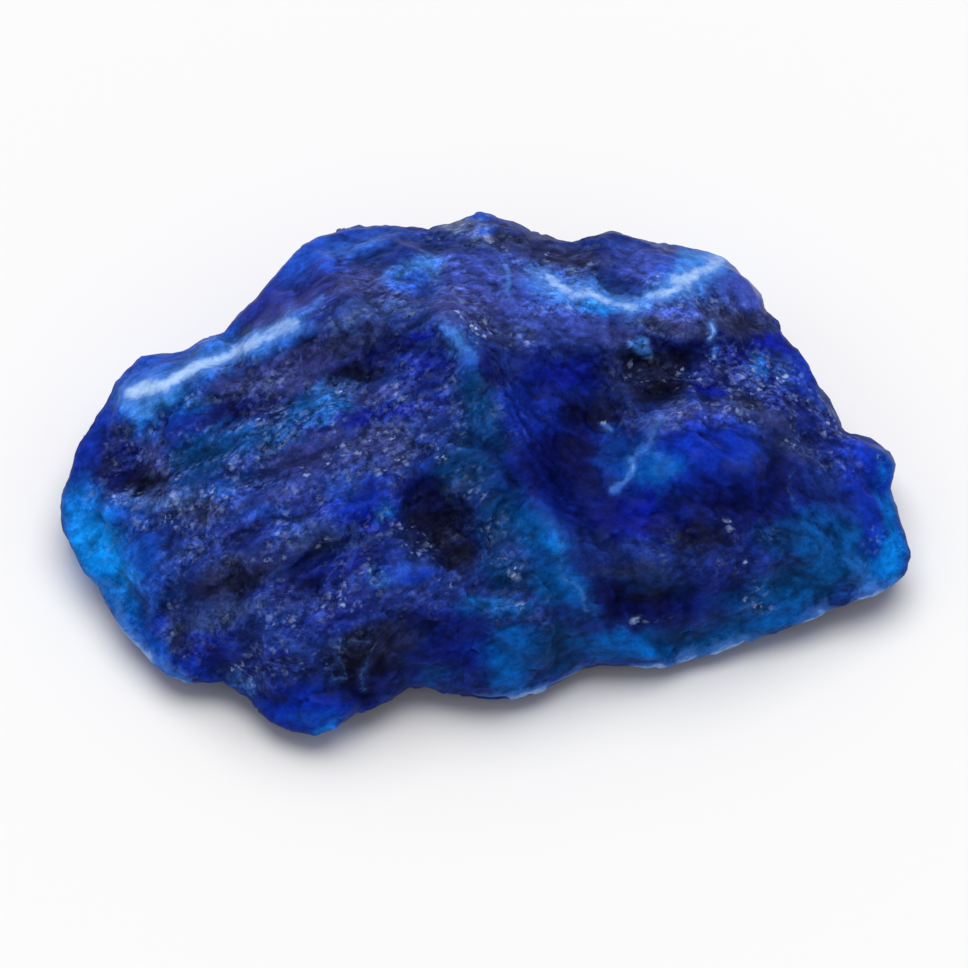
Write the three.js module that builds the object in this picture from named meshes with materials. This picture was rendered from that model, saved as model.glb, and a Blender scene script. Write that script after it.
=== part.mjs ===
// Hauyne specimen: one rough, broken piece of deep blue, glassy stone, lying on its flattest side.
//
// Millimetres, +Z up. +X runs along the stone, and the origin is the middle of its box, on the
// surface that it rests on.
//
// The stone is worked out in a leaning frame, because its outline is widest when it is seen from
// the front and above: "along" runs with +X, "up" climbs the lean towards the back, and "out"
// stands square to both, towards the front and above. The outline is the stone's rim. An upper
// face swells out of the rim, and an underside falls from it to the resting face.

import * as THREE from "three";
import { mergeVertices } from "three/addons/utils/BufferGeometryUtils.js";

// Driving dimensions, in millimetres and degrees.
const LEAN_DEG = 35;
const RIM_FRONT_HEIGHT = 1.1; // the rim's height over the resting face, at the stone's front
const RIM_BACK_HEIGHT = 5.2; // and at its back
const RIM_FRONT_UP = -8.2; // where the rim's front and back lie, up the lean
const RIM_BACK_UP = 9.0;
const RIM_DIPS = [[-35, 55, 1.2], [-170, 30, 1.3]]; // the rim sinks at the lower right and at the left
const RIM_WAVE = 0.3; // how far the rim wanders out of its plane
const RIM_SHOULDER = 0.8; // how far the upper face stands out of the rim, just inside it
const BELLY_FRONT = 3.4; // how far the underside would fall below the rim, front and back
const BELLY_BACK = 7.4;
const LUMP_SIZE = 3.1; // soft lumps and hollows: their spacing, and the drop from top to hollow
const LUMP_DEPTH = 0.4;
const CHIP_SIZE = 2.1; // flat broken faces: their width, and the drop from the highest to the lowest
const CHIP_DEPTH = 0.55;
const RIM_CHIPPING = 0.08; // the share of both that is left at the rim
const POCKET_SIZE = 3.4; // shallow pockets in the resting face: their spacing and depth
const POCKET_DEPTH = 0.8;
const LEDGE_DEPTH = 0.2; // the small steps of the layered left side
const LEDGE_SPACING = 1.6;
const CELLS_ALONG = 38; // the mesh: cells along, up and out
const CELLS_UP = 26;
const CELLS_OUT = 22;

const MIDDLE = { along: -0.1, up: 0.8 }; // every ray from here meets the outline once

// The outline, clockwise from the left tip: [along, up].
const OUTLINE = [
  // left end and the stepped upper left
  [-14.0, -0.4], [-13.8, 0.0], [-13.6, 0.6], [-13.4, 1.2], [-13.2, 1.5], [-12.9, 2.0], [-12.5, 2.7],
  [-12.3, 3.2], [-11.8, 3.8], [-11.3, 4.2], [-10.7, 4.3], [-9.9, 4.4], [-9.3, 4.7], [-8.6, 5.0],
  [-8.1, 5.6], [-7.5, 6.1], [-7.3, 6.4], [-6.9, 6.9], [-6.5, 7.4], [-6.0, 7.9], [-5.4, 8.2],
  // top
  [-4.6, 8.4], [-3.5, 8.5], [-2.5, 8.5], [-1.8, 8.4], [-0.9, 8.7], [0.0, 9.0], [0.6, 8.7], [1.5, 8.2],
  [2.4, 8.1], [2.9, 8.0], [3.7, 8.2], [4.2, 8.3], [4.9, 8.1], [6.1, 7.7], [7.4, 7.4], [8.2, 7.1],
  // the stepped upper right
  [8.7, 6.7], [9.1, 6.2], [9.2, 5.7], [9.7, 5.4], [10.0, 4.8], [10.4, 4.4], [10.7, 4.0], [10.9, 3.4],
  [11.3, 2.6], [11.8, 1.7], [12.4, 1.4], [12.9, 1.3], [13.4, 0.9],
  // right end
  [13.5, 0.6], [13.4, -0.2], [13.6, -0.8], [13.8, -1.5], [14.0, -2.2], [13.9, -2.9], [13.5, -3.3],
  [13.0, -3.7],
  // the long lower right edge
  [12.0, -3.9], [11.2, -4.3], [9.9, -4.8], [8.6, -5.2], [7.1, -5.7], [6.0, -6.0], [4.8, -6.0],
  [3.8, -5.9], [3.0, -6.1], [2.4, -6.5], [1.5, -6.9], [0.9, -7.0], [-0.3, -6.9], [-1.1, -6.8],
  [-1.8, -6.6], [-2.5, -6.6], [-2.9, -6.9], [-3.5, -7.3], [-4.3, -7.5],
  // the bulge at the lower left, and the left side back to the tip
  [-4.9, -8.0], [-5.5, -8.2], [-6.3, -8.1], [-7.0, -7.8], [-7.5, -7.3], [-8.0, -6.9], [-8.8, -6.5],
  [-9.7, -6.5], [-10.4, -6.3], [-10.8, -6.0], [-11.3, -5.4], [-11.9, -4.8], [-12.3, -4.1],
  [-12.7, -3.4], [-13.2, -2.8], [-13.5, -2.2], [-13.9, -1.5], [-13.9, -0.9],
];

// The relief of the upper face, feature by feature: [along, up, height out of the rim].
const RELIEF = {
  pale_crest: [[-11.9, 2.8, 1.8], [-10.7, 3.3, 2.2], [-9.3, 4.0, 2.6], [-7.7, 4.7, 3.0], [-6.0, 5.3, 3.3],
    [-4.4, 5.6, 3.6], [-2.8, 5.7, 3.9]],
  behind_the_crest: [[-9.9, 4.1, 1.3], [-7.0, 6.0, 1.6], [-5.1, 7.0, 2.0], [-2.8, 7.3, 2.3],
    [-0.5, 7.4, 2.4], [-0.6, 8.4, 1.1]],
  under_the_crest: [[-11.0, 2.0, 1.4], [-9.3, 2.7, 1.8], [-7.5, 3.3, 2.2], [-5.5, 3.9, 2.8], [-3.4, 4.2, 3.2],
    [-8.2, 2.5, 1.9], [-4.6, 3.0, 3.0]],
  layered_block: [[-7.7, 1.5, 2.8], [-5.1, 2.6, 3.5], [-3.1, 2.9, 3.8], [-6.1, 1.1, 3.3], [-4.4, 1.4, 3.7],
    [-4.4, -0.9, 3.7], [-6.4, -0.9, 3.3], [-8.4, -0.2, 2.8], [-10.3, -0.4, 2.1], [-12.1, -0.5, 1.4],
    [-11.0, -2.5, 1.7], [-9.3, -2.5, 2.2], [-12.6, -2.5, 0.9], [-7.4, -2.2, 2.8], [-11.9, -3.6, 0.9]],
  dark_pit_at_the_left: [[-11.9, 0.9, 0.7], [-11.4, 0.2, 0.9], [-12.6, 1.6, 0.9], [-10.6, 1.0, 1.6]],
  groove: [[-5.7, -2.9, 2.7], [-8.0, -3.5, 1.9], [-9.7, -4.0, 1.3]],
  lower_left_ridge: [[-10.9, -5.1, 1.0], [-9.2, -4.4, 1.9], [-7.2, -3.8, 2.8], [-4.5, -3.3, 3.5],
    [-2.8, -2.7, 3.8], [-1.8, -2.6, 3.5]],
  lower_left_lump: [[-6.1, -5.0, 3.1], [-8.0, -5.5, 2.0], [-4.4, -5.1, 2.9], [-3.5, -6.1, 1.6],
    [-9.3, -5.8, 1.1], [-7.4, -6.5, 1.6]],
  glassy_bulge: [[-5.9, -6.5, 1.6], [-5.9, -7.3, 1.5], [-5.2, -7.3, 1.2]],
  spine: [[-1.3, 5.2, 4.4], [-0.3, 3.8, 4.4], [0.4, 2.3, 4.3], [0.9, 0.9, 4.1], [1.7, -0.5, 3.9],
    [2.4, -1.7, 3.7], [3.0, -3.2, 2.9], [3.6, -4.4, 1.9]],
  right_of_the_spine: [[1.4, 4.4, 3.4], [2.0, 2.8, 2.9], [2.7, 1.3, 2.6], [3.4, -0.2, 2.4], [4.0, -1.5, 2.5],
    [4.5, 1.4, 2.2], [4.1, 2.8, 2.1]],
  left_of_the_spine: [[-1.6, 3.6, 3.9], [-1.8, 1.1, 3.7], [-3.1, 0.1, 3.7], [-0.1, -0.5, 3.7],
    [0.5, -2.6, 3.4], [-0.5, -3.6, 3.0]],
  central_pit: [[-1.5, -1.3, 2.6], [-2.0, -0.5, 2.9], [-1.0, -2.2, 2.7]],
  top: [[1.2, 6.4, 3.1], [2.5, 5.5, 3.3], [3.8, 5.0, 3.0], [2.4, 7.1, 1.9]],
  top_right_slab: [[3.8, 7.2, 1.6], [5.8, 6.6, 2.0], [7.8, 6.2, 1.6], [4.8, 4.9, 2.8], [6.4, 5.0, 2.7],
    [8.1, 5.2, 2.2], [9.5, 5.0, 1.3]],
  hollow_under_the_slab: [[5.1, 3.8, 1.4], [6.6, 3.9, 1.3], [8.3, 4.1, 1.2], [9.8, 4.0, 0.9],
    [5.6, 3.0, 1.7], [8.6, 3.2, 1.7], [10.3, 3.0, 1.0]],
  right_boss: [[5.6, 1.9, 2.6], [6.8, 2.2, 2.7], [8.0, 2.3, 2.6], [9.7, 2.0, 2.2], [11.5, 1.4, 1.6],
    [13.0, 0.6, 0.9], [7.1, 0.9, 3.4], [5.8, 0.5, 3.1], [8.4, 0.5, 3.1]],
  right_end: [[10.1, -0.2, 2.3], [11.7, -0.5, 1.9], [13.0, -1.5, 1.2], [12.0, -2.7, 1.3], [10.4, -2.2, 2.1]],
  shelf_edge: [[3.9, -2.6, 2.7], [5.5, -2.6, 3.0], [7.4, -2.5, 3.0], [9.1, -2.6, 2.4], [5.5, -1.2, 2.6],
    [7.1, -1.2, 2.7], [8.4, -1.4, 2.6]],
  face_under_the_shelf: [[4.5, -4.1, 1.5], [6.4, -4.0, 1.6], [8.4, -3.7, 1.5], [10.2, -3.4, 1.3]],
  lower_middle: [[-0.1, -5.6, 1.7], [-1.8, -5.1, 2.0], [1.5, -5.1, 2.0], [2.5, -4.2, 2.5], [-1.4, -4.0, 2.9],
    [0.9, -3.8, 2.8]],
};

// The underside, as broad broken faces: [depth at the middle, fall along, fall up].
const UNDER_FACES = [[6.0, 0.0, 0.3], [6.9, 0.16, 0.3], [6.6, -0.13, 0.24], [8.6, 0.1, -0.15], [6.0, 0.1, 0.45]];

const lean = THREE.MathUtils.degToRad(LEAN_DEG);
const { cos, sin, hypot, atan2, sqrt, abs, min, max, floor, exp, PI } = Math;
const mix = (a, b, t) => a + (b - a) * t;
const smooth = (t) => t * t * (3 - 2 * t);

// The world's x, y and z of a point in the leaning frame.
const toWorld = (along, up, out) => [along, up * cos(lean) - out * sin(lean), up * sin(lean) + out * cos(lean)];

// How far out of the leaning frame's own plane a point of a given height lies.
const outAtHeight = (up, z) => (z - up * sin(lean)) / cos(lean);

// The outline as a reach from the middle at each angle, kept in the order of the angle.
const rays = OUTLINE.map(([along, up]) => {
  const [a, u] = [along - MIDDLE.along, up - MIDDLE.up];
  return { angle: atan2(u, a), reach: hypot(a, u) };
}).sort((p, q) => p.angle - q.angle);

function outlineReach(angle) {
  let next = rays.findIndex((ray) => ray.angle > angle);
  if (next < 0) next = 0;
  const before = rays[(next + rays.length - 1) % rays.length];
  const after = rays[next];
  const span = (after.angle - before.angle + 2 * PI) % (2 * PI);
  const step = (angle - before.angle + 2 * PI) % (2 * PI);
  return mix(before.reach, after.reach, step / span);
}

// How far the rim sinks in a direction. Each dip has its own direction and half width, in degrees,
// and its depth.
function dip(angle) {
  return RIM_DIPS.reduce((sum, [middle, width, depth]) => {
    const turn = (((angle * 180) / PI - middle + 540) % 360) - 180;
    return sum + depth * exp(-((turn / width) ** 2));
  }, 0);
}

// The rim climbs evenly from front to back, sinks in its dips, and wanders a little. Inside the rim
// its surface calms down to the plane.
function rimOut(angle, up, share) {
  const climb = (up - RIM_FRONT_UP) / (RIM_BACK_UP - RIM_FRONT_UP);
  const wave = sin(2 * angle + 1.1) + 0.7 * sin(5 * angle + 2.3) + 0.4 * sin(11 * angle);
  const plane = outAtHeight(up, mix(RIM_FRONT_HEIGHT, RIM_BACK_HEIGHT, climb));
  return plane + (RIM_WAVE * wave * smooth(climb) - dip(angle)) * share ** 3;
}

// A pseudo-random number from 0 to 1 for each whole-numbered place.
function scatter(i, j, k) {
  const n = sin(i * 127.1 + j * 311.7 + k * 74.7) * 43758.5453;
  return n - floor(n);
}

// Smooth random lumps, one to each unit of length, from -1 to 1.
function lumps(x, y, z) {
  const [i, j, k] = [floor(x), floor(y), floor(z)];
  const [a, b, c] = [smooth(x - i), smooth(y - j), smooth(z - k)];
  const row = (dj, dk) => mix(scatter(i, j + dj, k + dk), scatter(i + 1, j + dj, k + dk), a);
  return 2 * mix(mix(row(0, 0), row(1, 0), b), mix(row(0, 1), row(1, 1), b), c) - 1;
}

// Flat broken faces, one to each unit of length or so, from -1 to 1. Every point belongs to the
// nearest of the scattered cell middles, and each cell is a plane with a random tilt.
function brokenFaces(x, y, z) {
  const near = [floor(x), floor(y), floor(z)];
  let [first, second] = [{ away: 9, face: 0 }, { away: 9, face: 0 }];
  for (let n = 0; n < 27; n++) {
    const [i, j, k] = [near[0] + (n % 3) - 1, near[1] + (floor(n / 3) % 3) - 1, near[2] + floor(n / 9) - 1];
    const gap = [x - i - scatter(i, j, k), y - j - scatter(i, j, k + 57), z - k - scatter(i, j, k + 113)];
    const tilt = [scatter(i + 31, j, k) - 0.5, scatter(i + 31, j, k + 57) - 0.5, scatter(i + 31, j, k + 113) - 0.5];
    const slope = 2 * (gap[0] * tilt[0] + gap[1] * tilt[1] + gap[2] * tilt[2]);
    const cell = { away: hypot(...gap), face: slope + 0.6 * (scatter(i, j + 31, k) - 0.5) };
    if (cell.away < first.away) [first, second] = [cell, first];
    else if (cell.away < second.away) second = cell;
  }
  const own = smooth(min(1, 0.5 + (second.away - first.away) * 2));
  return mix(second.face, first.face, own);
}

// Each point of the relief lends its height to its surroundings, and the slope comes from its
// neighbours: a plane is fitted at every place, and near points count far more than distant ones.
const heights = [...Object.values(RELIEF).flat(), ...OUTLINE.map(([along, up]) => [along, up, RIM_SHOULDER])];

function relief(along, up) {
  const NEARNESS = 2.1;
  const BLUNTNESS = 0.3; // square millimetres: rounds the peaks a little
  const CALMNESS = 0.25; // square millimetres: keeps a plane from tipping over where points are few
  let [s, sa, su, sh, saa, sau, suu, sah, suh] = [0, 0, 0, 0, 0, 0, 0, 0, 0];
  for (const [a0, u0, h] of heights) {
    const [a, u] = [a0 - along, u0 - up];
    const w = 1 / (a * a + u * u + BLUNTNESS) ** NEARNESS;
    s += w; sa += w * a; su += w * u; sh += w * h;
    saa += w * a * a; sau += w * a * u; suu += w * u * u; sah += w * a * h; suh += w * u * h;
  }
  const calm = CALMNESS * s;
  const [maa, mau, muu] = [saa - (sa * sa) / s + calm, sau - (sa * su) / s, suu - (su * su) / s + calm];
  const [mah, muh] = [sah - (sa * sh) / s, suh - (su * sh) / s];
  const spread = maa * muu - mau * mau;
  const [ga, gu] = [(mah * muu - muh * mau) / spread, (muh * maa - mah * mau) / spread];
  return (sh - ga * sa - gu * su) / s;
}

// The layered left side breaks in small steps, which climb to the right.
function ledges(along, up) {
  const across = up * cos(0.42) - along * sin(0.42) + 0.35 * lumps(along * 0.7, up * 0.7, 3);
  const turn = across / LEDGE_SPACING - floor(across / LEDGE_SPACING);
  const tread = turn < 0.7 ? turn / 0.7 : (1 - turn) / 0.3;
  const place = exp(-(((along + 7) / 4.6) ** 2) - ((up + 0.8) / 3.2) ** 2);
  return LEDGE_DEPTH * place * (2 * smooth(tread) - 1);
}

function upperOut(along, up, share, angle) {
  const rounding = sqrt(max(0, 1 - share ** 8));
  return rimOut(angle, up, share) + max(0.12, relief(along, up) + ledges(along, up)) * rounding;
}

function lowerOut(along, up, share, angle) {
  const climb = (up - RIM_FRONT_UP) / (RIM_BACK_UP - RIM_FRONT_UP);
  const faces = min(...UNDER_FACES.map(([deep, fall, rise]) => deep + fall * along + rise * up));
  const depth = min(mix(BELLY_FRONT, BELLY_BACK, climb), max(2.8, faces));
  const rounding = max(0, 1 - share ** 3) ** (1 / 3);
  const behind = up / cos(lean); // the world's y of this point, where it meets the resting face
  const pocket = POCKET_DEPTH * (lumps(along / POCKET_SIZE, behind / POCKET_SIZE, 40) - 0.1);
  return max(rimOut(angle, up, share) - depth * rounding, outAtHeight(up, max(0, pocket)));
}

function stoneGeometry() {
  // A box's faces, blown up to a ball with even cells, give each point a direction.
  const box = new THREE.BoxGeometry(2, 2, 2, CELLS_ALONG, CELLS_UP, CELLS_OUT);
  box.deleteAttribute("normal");
  box.deleteAttribute("uv");
  const geometry = mergeVertices(box, 1e-4);
  const place = geometry.getAttribute("position");
  const direction = new THREE.Vector3();
  const even = (t) => Math.tan((t * PI) / 4);
  for (let i = 0; i < place.count; i++) {
    direction.fromBufferAttribute(place, i);
    direction.set(even(direction.x), even(direction.y), even(direction.z)).normalize();
    const flat = hypot(direction.x, direction.y);
    const angle = atan2(direction.y, direction.x);
    const onTop = direction.z >= 0;
    const share = onTop ? atan2(flat, direction.z) / (PI / 2) : flat; // of the reach to the outline
    const along = MIDDLE.along + share * outlineReach(angle) * cos(angle);
    const up = MIDDLE.up + share * outlineReach(angle) * sin(angle);
    const rimShare = min(1, share);
    const out = onTop ? upperOut(along, up, rimShare, angle) : lowerOut(along, up, rimShare, angle);
    place.setXYZ(i, ...toWorld(along, up, out));
  }
  chip(geometry);
  splitAcrossShortWay(geometry);
  return geometry;
}

// Each cell is split along its shorter diagonal, so steep faces stay clean.
function splitAcrossShortWay(geometry) {
  const place = geometry.getAttribute("position");
  const index = geometry.index;
  const corner = (i) => new THREE.Vector3().fromBufferAttribute(place, i);
  for (let i = 0; i < index.count; i += 6) {
    const [a, b, c, d] = [index.getX(i), index.getX(i + 1), index.getX(i + 4), index.getX(i + 2)];
    if (corner(a).distanceTo(corner(c)) < corner(b).distanceTo(corner(d))) {
      [a, b, c, a, c, d].forEach((vertex, k) => index.setX(i + k, vertex));
    }
  }
}

// Chips and lumps cut in and stand out by turns, are small at the rim, and leave the resting face flat.
function chip(geometry) {
  geometry.computeVertexNormals();
  const place = geometry.getAttribute("position");
  const normal = geometry.getAttribute("normal");
  for (let i = 0; i < place.count; i++) {
    const [x, y, z] = [place.getX(i), place.getY(i), place.getZ(i)];
    const lump = lumps(x / LUMP_SIZE + 5, y / LUMP_SIZE, z / LUMP_SIZE);
    const face = brokenFaces(x / CHIP_SIZE, y / CHIP_SIZE, z / CHIP_SIZE);
    const cut = (-LUMP_DEPTH * lump - CHIP_DEPTH * face) / 2;
    const up = y * cos(lean) + z * sin(lean);
    const out = z * cos(lean) - y * sin(lean);
    const angle = atan2(up - MIDDLE.up, x - MIDDLE.along);
    const share = hypot(up - MIDDLE.up, x - MIDDLE.along) / outlineReach(angle);
    const fromRim = abs(out - rimOut(angle, up, share));
    const inland = smooth(min(1, fromRim / 0.9 + (1 - share) * 3));
    const fade = mix(RIM_CHIPPING, 1, inland) * smooth(min(1, z / 0.9));
    place.setXYZ(i, x - normal.getX(i) * cut * fade, y - normal.getY(i) * cut * fade,
      max(0, z - normal.getZ(i) * cut * fade));
  }
  geometry.deleteAttribute("normal");
}

const geometry = stoneGeometry();
geometry.computeBoundingBox();
const middle = geometry.boundingBox.getCenter(new THREE.Vector3());
geometry.translate(-middle.x, -middle.y, 0);

const hauyne = new THREE.MeshStandardMaterial({ color: 0x17206b, roughness: 0.35, metalness: 0 });
const stone = new THREE.Mesh(geometry, hauyne);
stone.name = "hauyne_stone";

const specimen = new THREE.Group();
specimen.add(stone);
export default specimen;
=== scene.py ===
import math

import bpy
import numpy as np
from mathutils import Matrix, Vector


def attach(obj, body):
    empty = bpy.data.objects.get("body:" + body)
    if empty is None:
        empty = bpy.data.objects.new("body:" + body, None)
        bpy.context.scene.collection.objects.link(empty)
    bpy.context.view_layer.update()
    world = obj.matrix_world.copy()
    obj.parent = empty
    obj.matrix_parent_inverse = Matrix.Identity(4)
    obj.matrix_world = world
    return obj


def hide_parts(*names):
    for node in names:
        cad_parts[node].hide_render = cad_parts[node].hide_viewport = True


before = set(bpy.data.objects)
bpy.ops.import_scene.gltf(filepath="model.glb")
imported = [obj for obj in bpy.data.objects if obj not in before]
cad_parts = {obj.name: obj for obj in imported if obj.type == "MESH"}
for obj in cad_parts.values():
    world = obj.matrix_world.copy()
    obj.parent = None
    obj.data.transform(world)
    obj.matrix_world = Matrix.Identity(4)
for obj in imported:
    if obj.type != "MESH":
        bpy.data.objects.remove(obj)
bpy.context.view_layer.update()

# ------------------------------------------------------------
# The stone. One rough lump of hauyne, a massive, glassy blue mineral with pale veins and white grains
# grown into it. It broke out of its rock in small flat faces, and lies loose on its flattest side.

# Its shape is worked out in a frame that leans back: "along" runs with +X, "up" climbs the lean
# towards the back, and "out" stands square to both. Sizes are in millimetres.
MM = 0.001  # a millimetre in metres
LEAN = math.radians(35)
RIM_FRONT_HEIGHT, RIM_BACK_HEIGHT = 1.1, 5.2  # over the floor
RIM_FRONT_UP, RIM_BACK_UP = -8.2, 9.0
RIM_DIPS = [(-35, 55, 1.2), (-170, 30, 1.3)]  # direction and half width in degrees, depth in mm
RIM_WAVE = 0.3  # how far the rim wanders out of its plane
RIM_WAVES = [(1.0, 2, 1.1), (0.7, 5, 2.3), (0.4, 11, 0.0)]  # share, waves in a turn, start in radians
RIM_SHOULDER = 0.8  # how far the upper face stands out of the rim, just inside it
LEAST_RELIEF, LEAST_BELLY = 0.12, 2.8  # how far the two faces stay from the rim's plane
BELLY_FRONT, BELLY_BACK = 3.4, 7.4  # how far the underside would fall below the rim
LUMP_SIZE, LUMP_DEPTH = 3.1, 0.4  # soft lumps: their spacing, and the drop from top to hollow
CHIP_SIZE, CHIP_DEPTH = 2.1, 0.55  # flat broken faces: their width, and the drop from high to low
RIM_CHIPPING = 0.08  # the share of both that is left at the rim
RIM_FADE, INWARD_FADE, FLOOR_FADE = 0.9, 2.7, 0.9  # how far from rim and floor they reach full depth
POCKET_SIZE, POCKET_DEPTH, POCKET_THRESHOLD = 3.4, 0.8, 0.1  # shallow pockets in the resting face
LEDGE_DEPTH, LEDGE_SPACING = 0.2, 1.6  # the small steps of the layered left side
LEDGE_SLOPE = 0.42  # in radians
LEDGE_TREAD, LEDGE_RISER = 0.7, 0.3  # shares of a step
LEDGE_WANDER, LEDGE_BENDS = 0.35, 0.7  # how far their lines wander, and bends in a millimetre
LEDGES_MIDDLE, LEDGES_REACH = (-7, -0.8), (4.6, 3.2)  # along and up
NEARNESS, BLUNTNESS, CALMNESS = 2.1, 0.3, 0.25  # how the relief's points share out their heights
CELLS = (176, 112, 100)  # the mesh's cells along, up and out
CELLS_BELOW = 34  # how many of the cells out lie below the rim
MIDDLE = (-0.1, 0.8)  # every ray from here meets the outline once

# The rim, clockwise from the left tip: along, up.
OUTLINE = np.array([
    # left end and the stepped upper left
    (-14.0, -0.4), (-13.8, 0.0), (-13.6, 0.6), (-13.4, 1.2), (-13.2, 1.5), (-12.9, 2.0), (-12.5, 2.7),
    (-12.3, 3.2), (-11.8, 3.8), (-11.3, 4.2), (-10.7, 4.3), (-9.9, 4.4), (-9.3, 4.7), (-8.6, 5.0),
    (-8.1, 5.6), (-7.5, 6.1), (-7.3, 6.4), (-6.9, 6.9), (-6.5, 7.4), (-6.0, 7.9), (-5.4, 8.2),
    # top
    (-4.6, 8.4), (-3.5, 8.5), (-2.5, 8.5), (-1.8, 8.4), (-0.9, 8.7), (0.0, 9.0), (0.6, 8.7), (1.5, 8.2),
    (2.4, 8.1), (2.9, 8.0), (3.7, 8.2), (4.2, 8.3), (4.9, 8.1), (6.1, 7.7), (7.4, 7.4), (8.2, 7.1),
    # the stepped upper right
    (8.7, 6.7), (9.1, 6.2), (9.2, 5.7), (9.7, 5.4), (10.0, 4.8), (10.4, 4.4), (10.7, 4.0), (10.9, 3.4),
    (11.3, 2.6), (11.8, 1.7), (12.4, 1.4), (12.9, 1.3), (13.4, 0.9),
    # right end
    (13.5, 0.6), (13.4, -0.2), (13.6, -0.8), (13.8, -1.5), (14.0, -2.2), (13.9, -2.9), (13.5, -3.3),
    (13.0, -3.7),
    # the long lower right edge
    (12.0, -3.9), (11.2, -4.3), (9.9, -4.8), (8.6, -5.2), (7.1, -5.7), (6.0, -6.0), (4.8, -6.0),
    (3.8, -5.9), (3.0, -6.1), (2.4, -6.5), (1.5, -6.9), (0.9, -7.0), (-0.3, -6.9), (-1.1, -6.8),
    (-1.8, -6.6), (-2.5, -6.6), (-2.9, -6.9), (-3.5, -7.3), (-4.3, -7.5),
    # the bulge at the lower left, and the left side back to the tip
    (-4.9, -8.0), (-5.5, -8.2), (-6.3, -8.1), (-7.0, -7.8), (-7.5, -7.3), (-8.0, -6.9), (-8.8, -6.5),
    (-9.7, -6.5), (-10.4, -6.3), (-10.8, -6.0), (-11.3, -5.4), (-11.9, -4.8), (-12.3, -4.1),
    (-12.7, -3.4), (-13.2, -2.8), (-13.5, -2.2), (-13.9, -1.5), (-13.9, -0.9),
])

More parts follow.
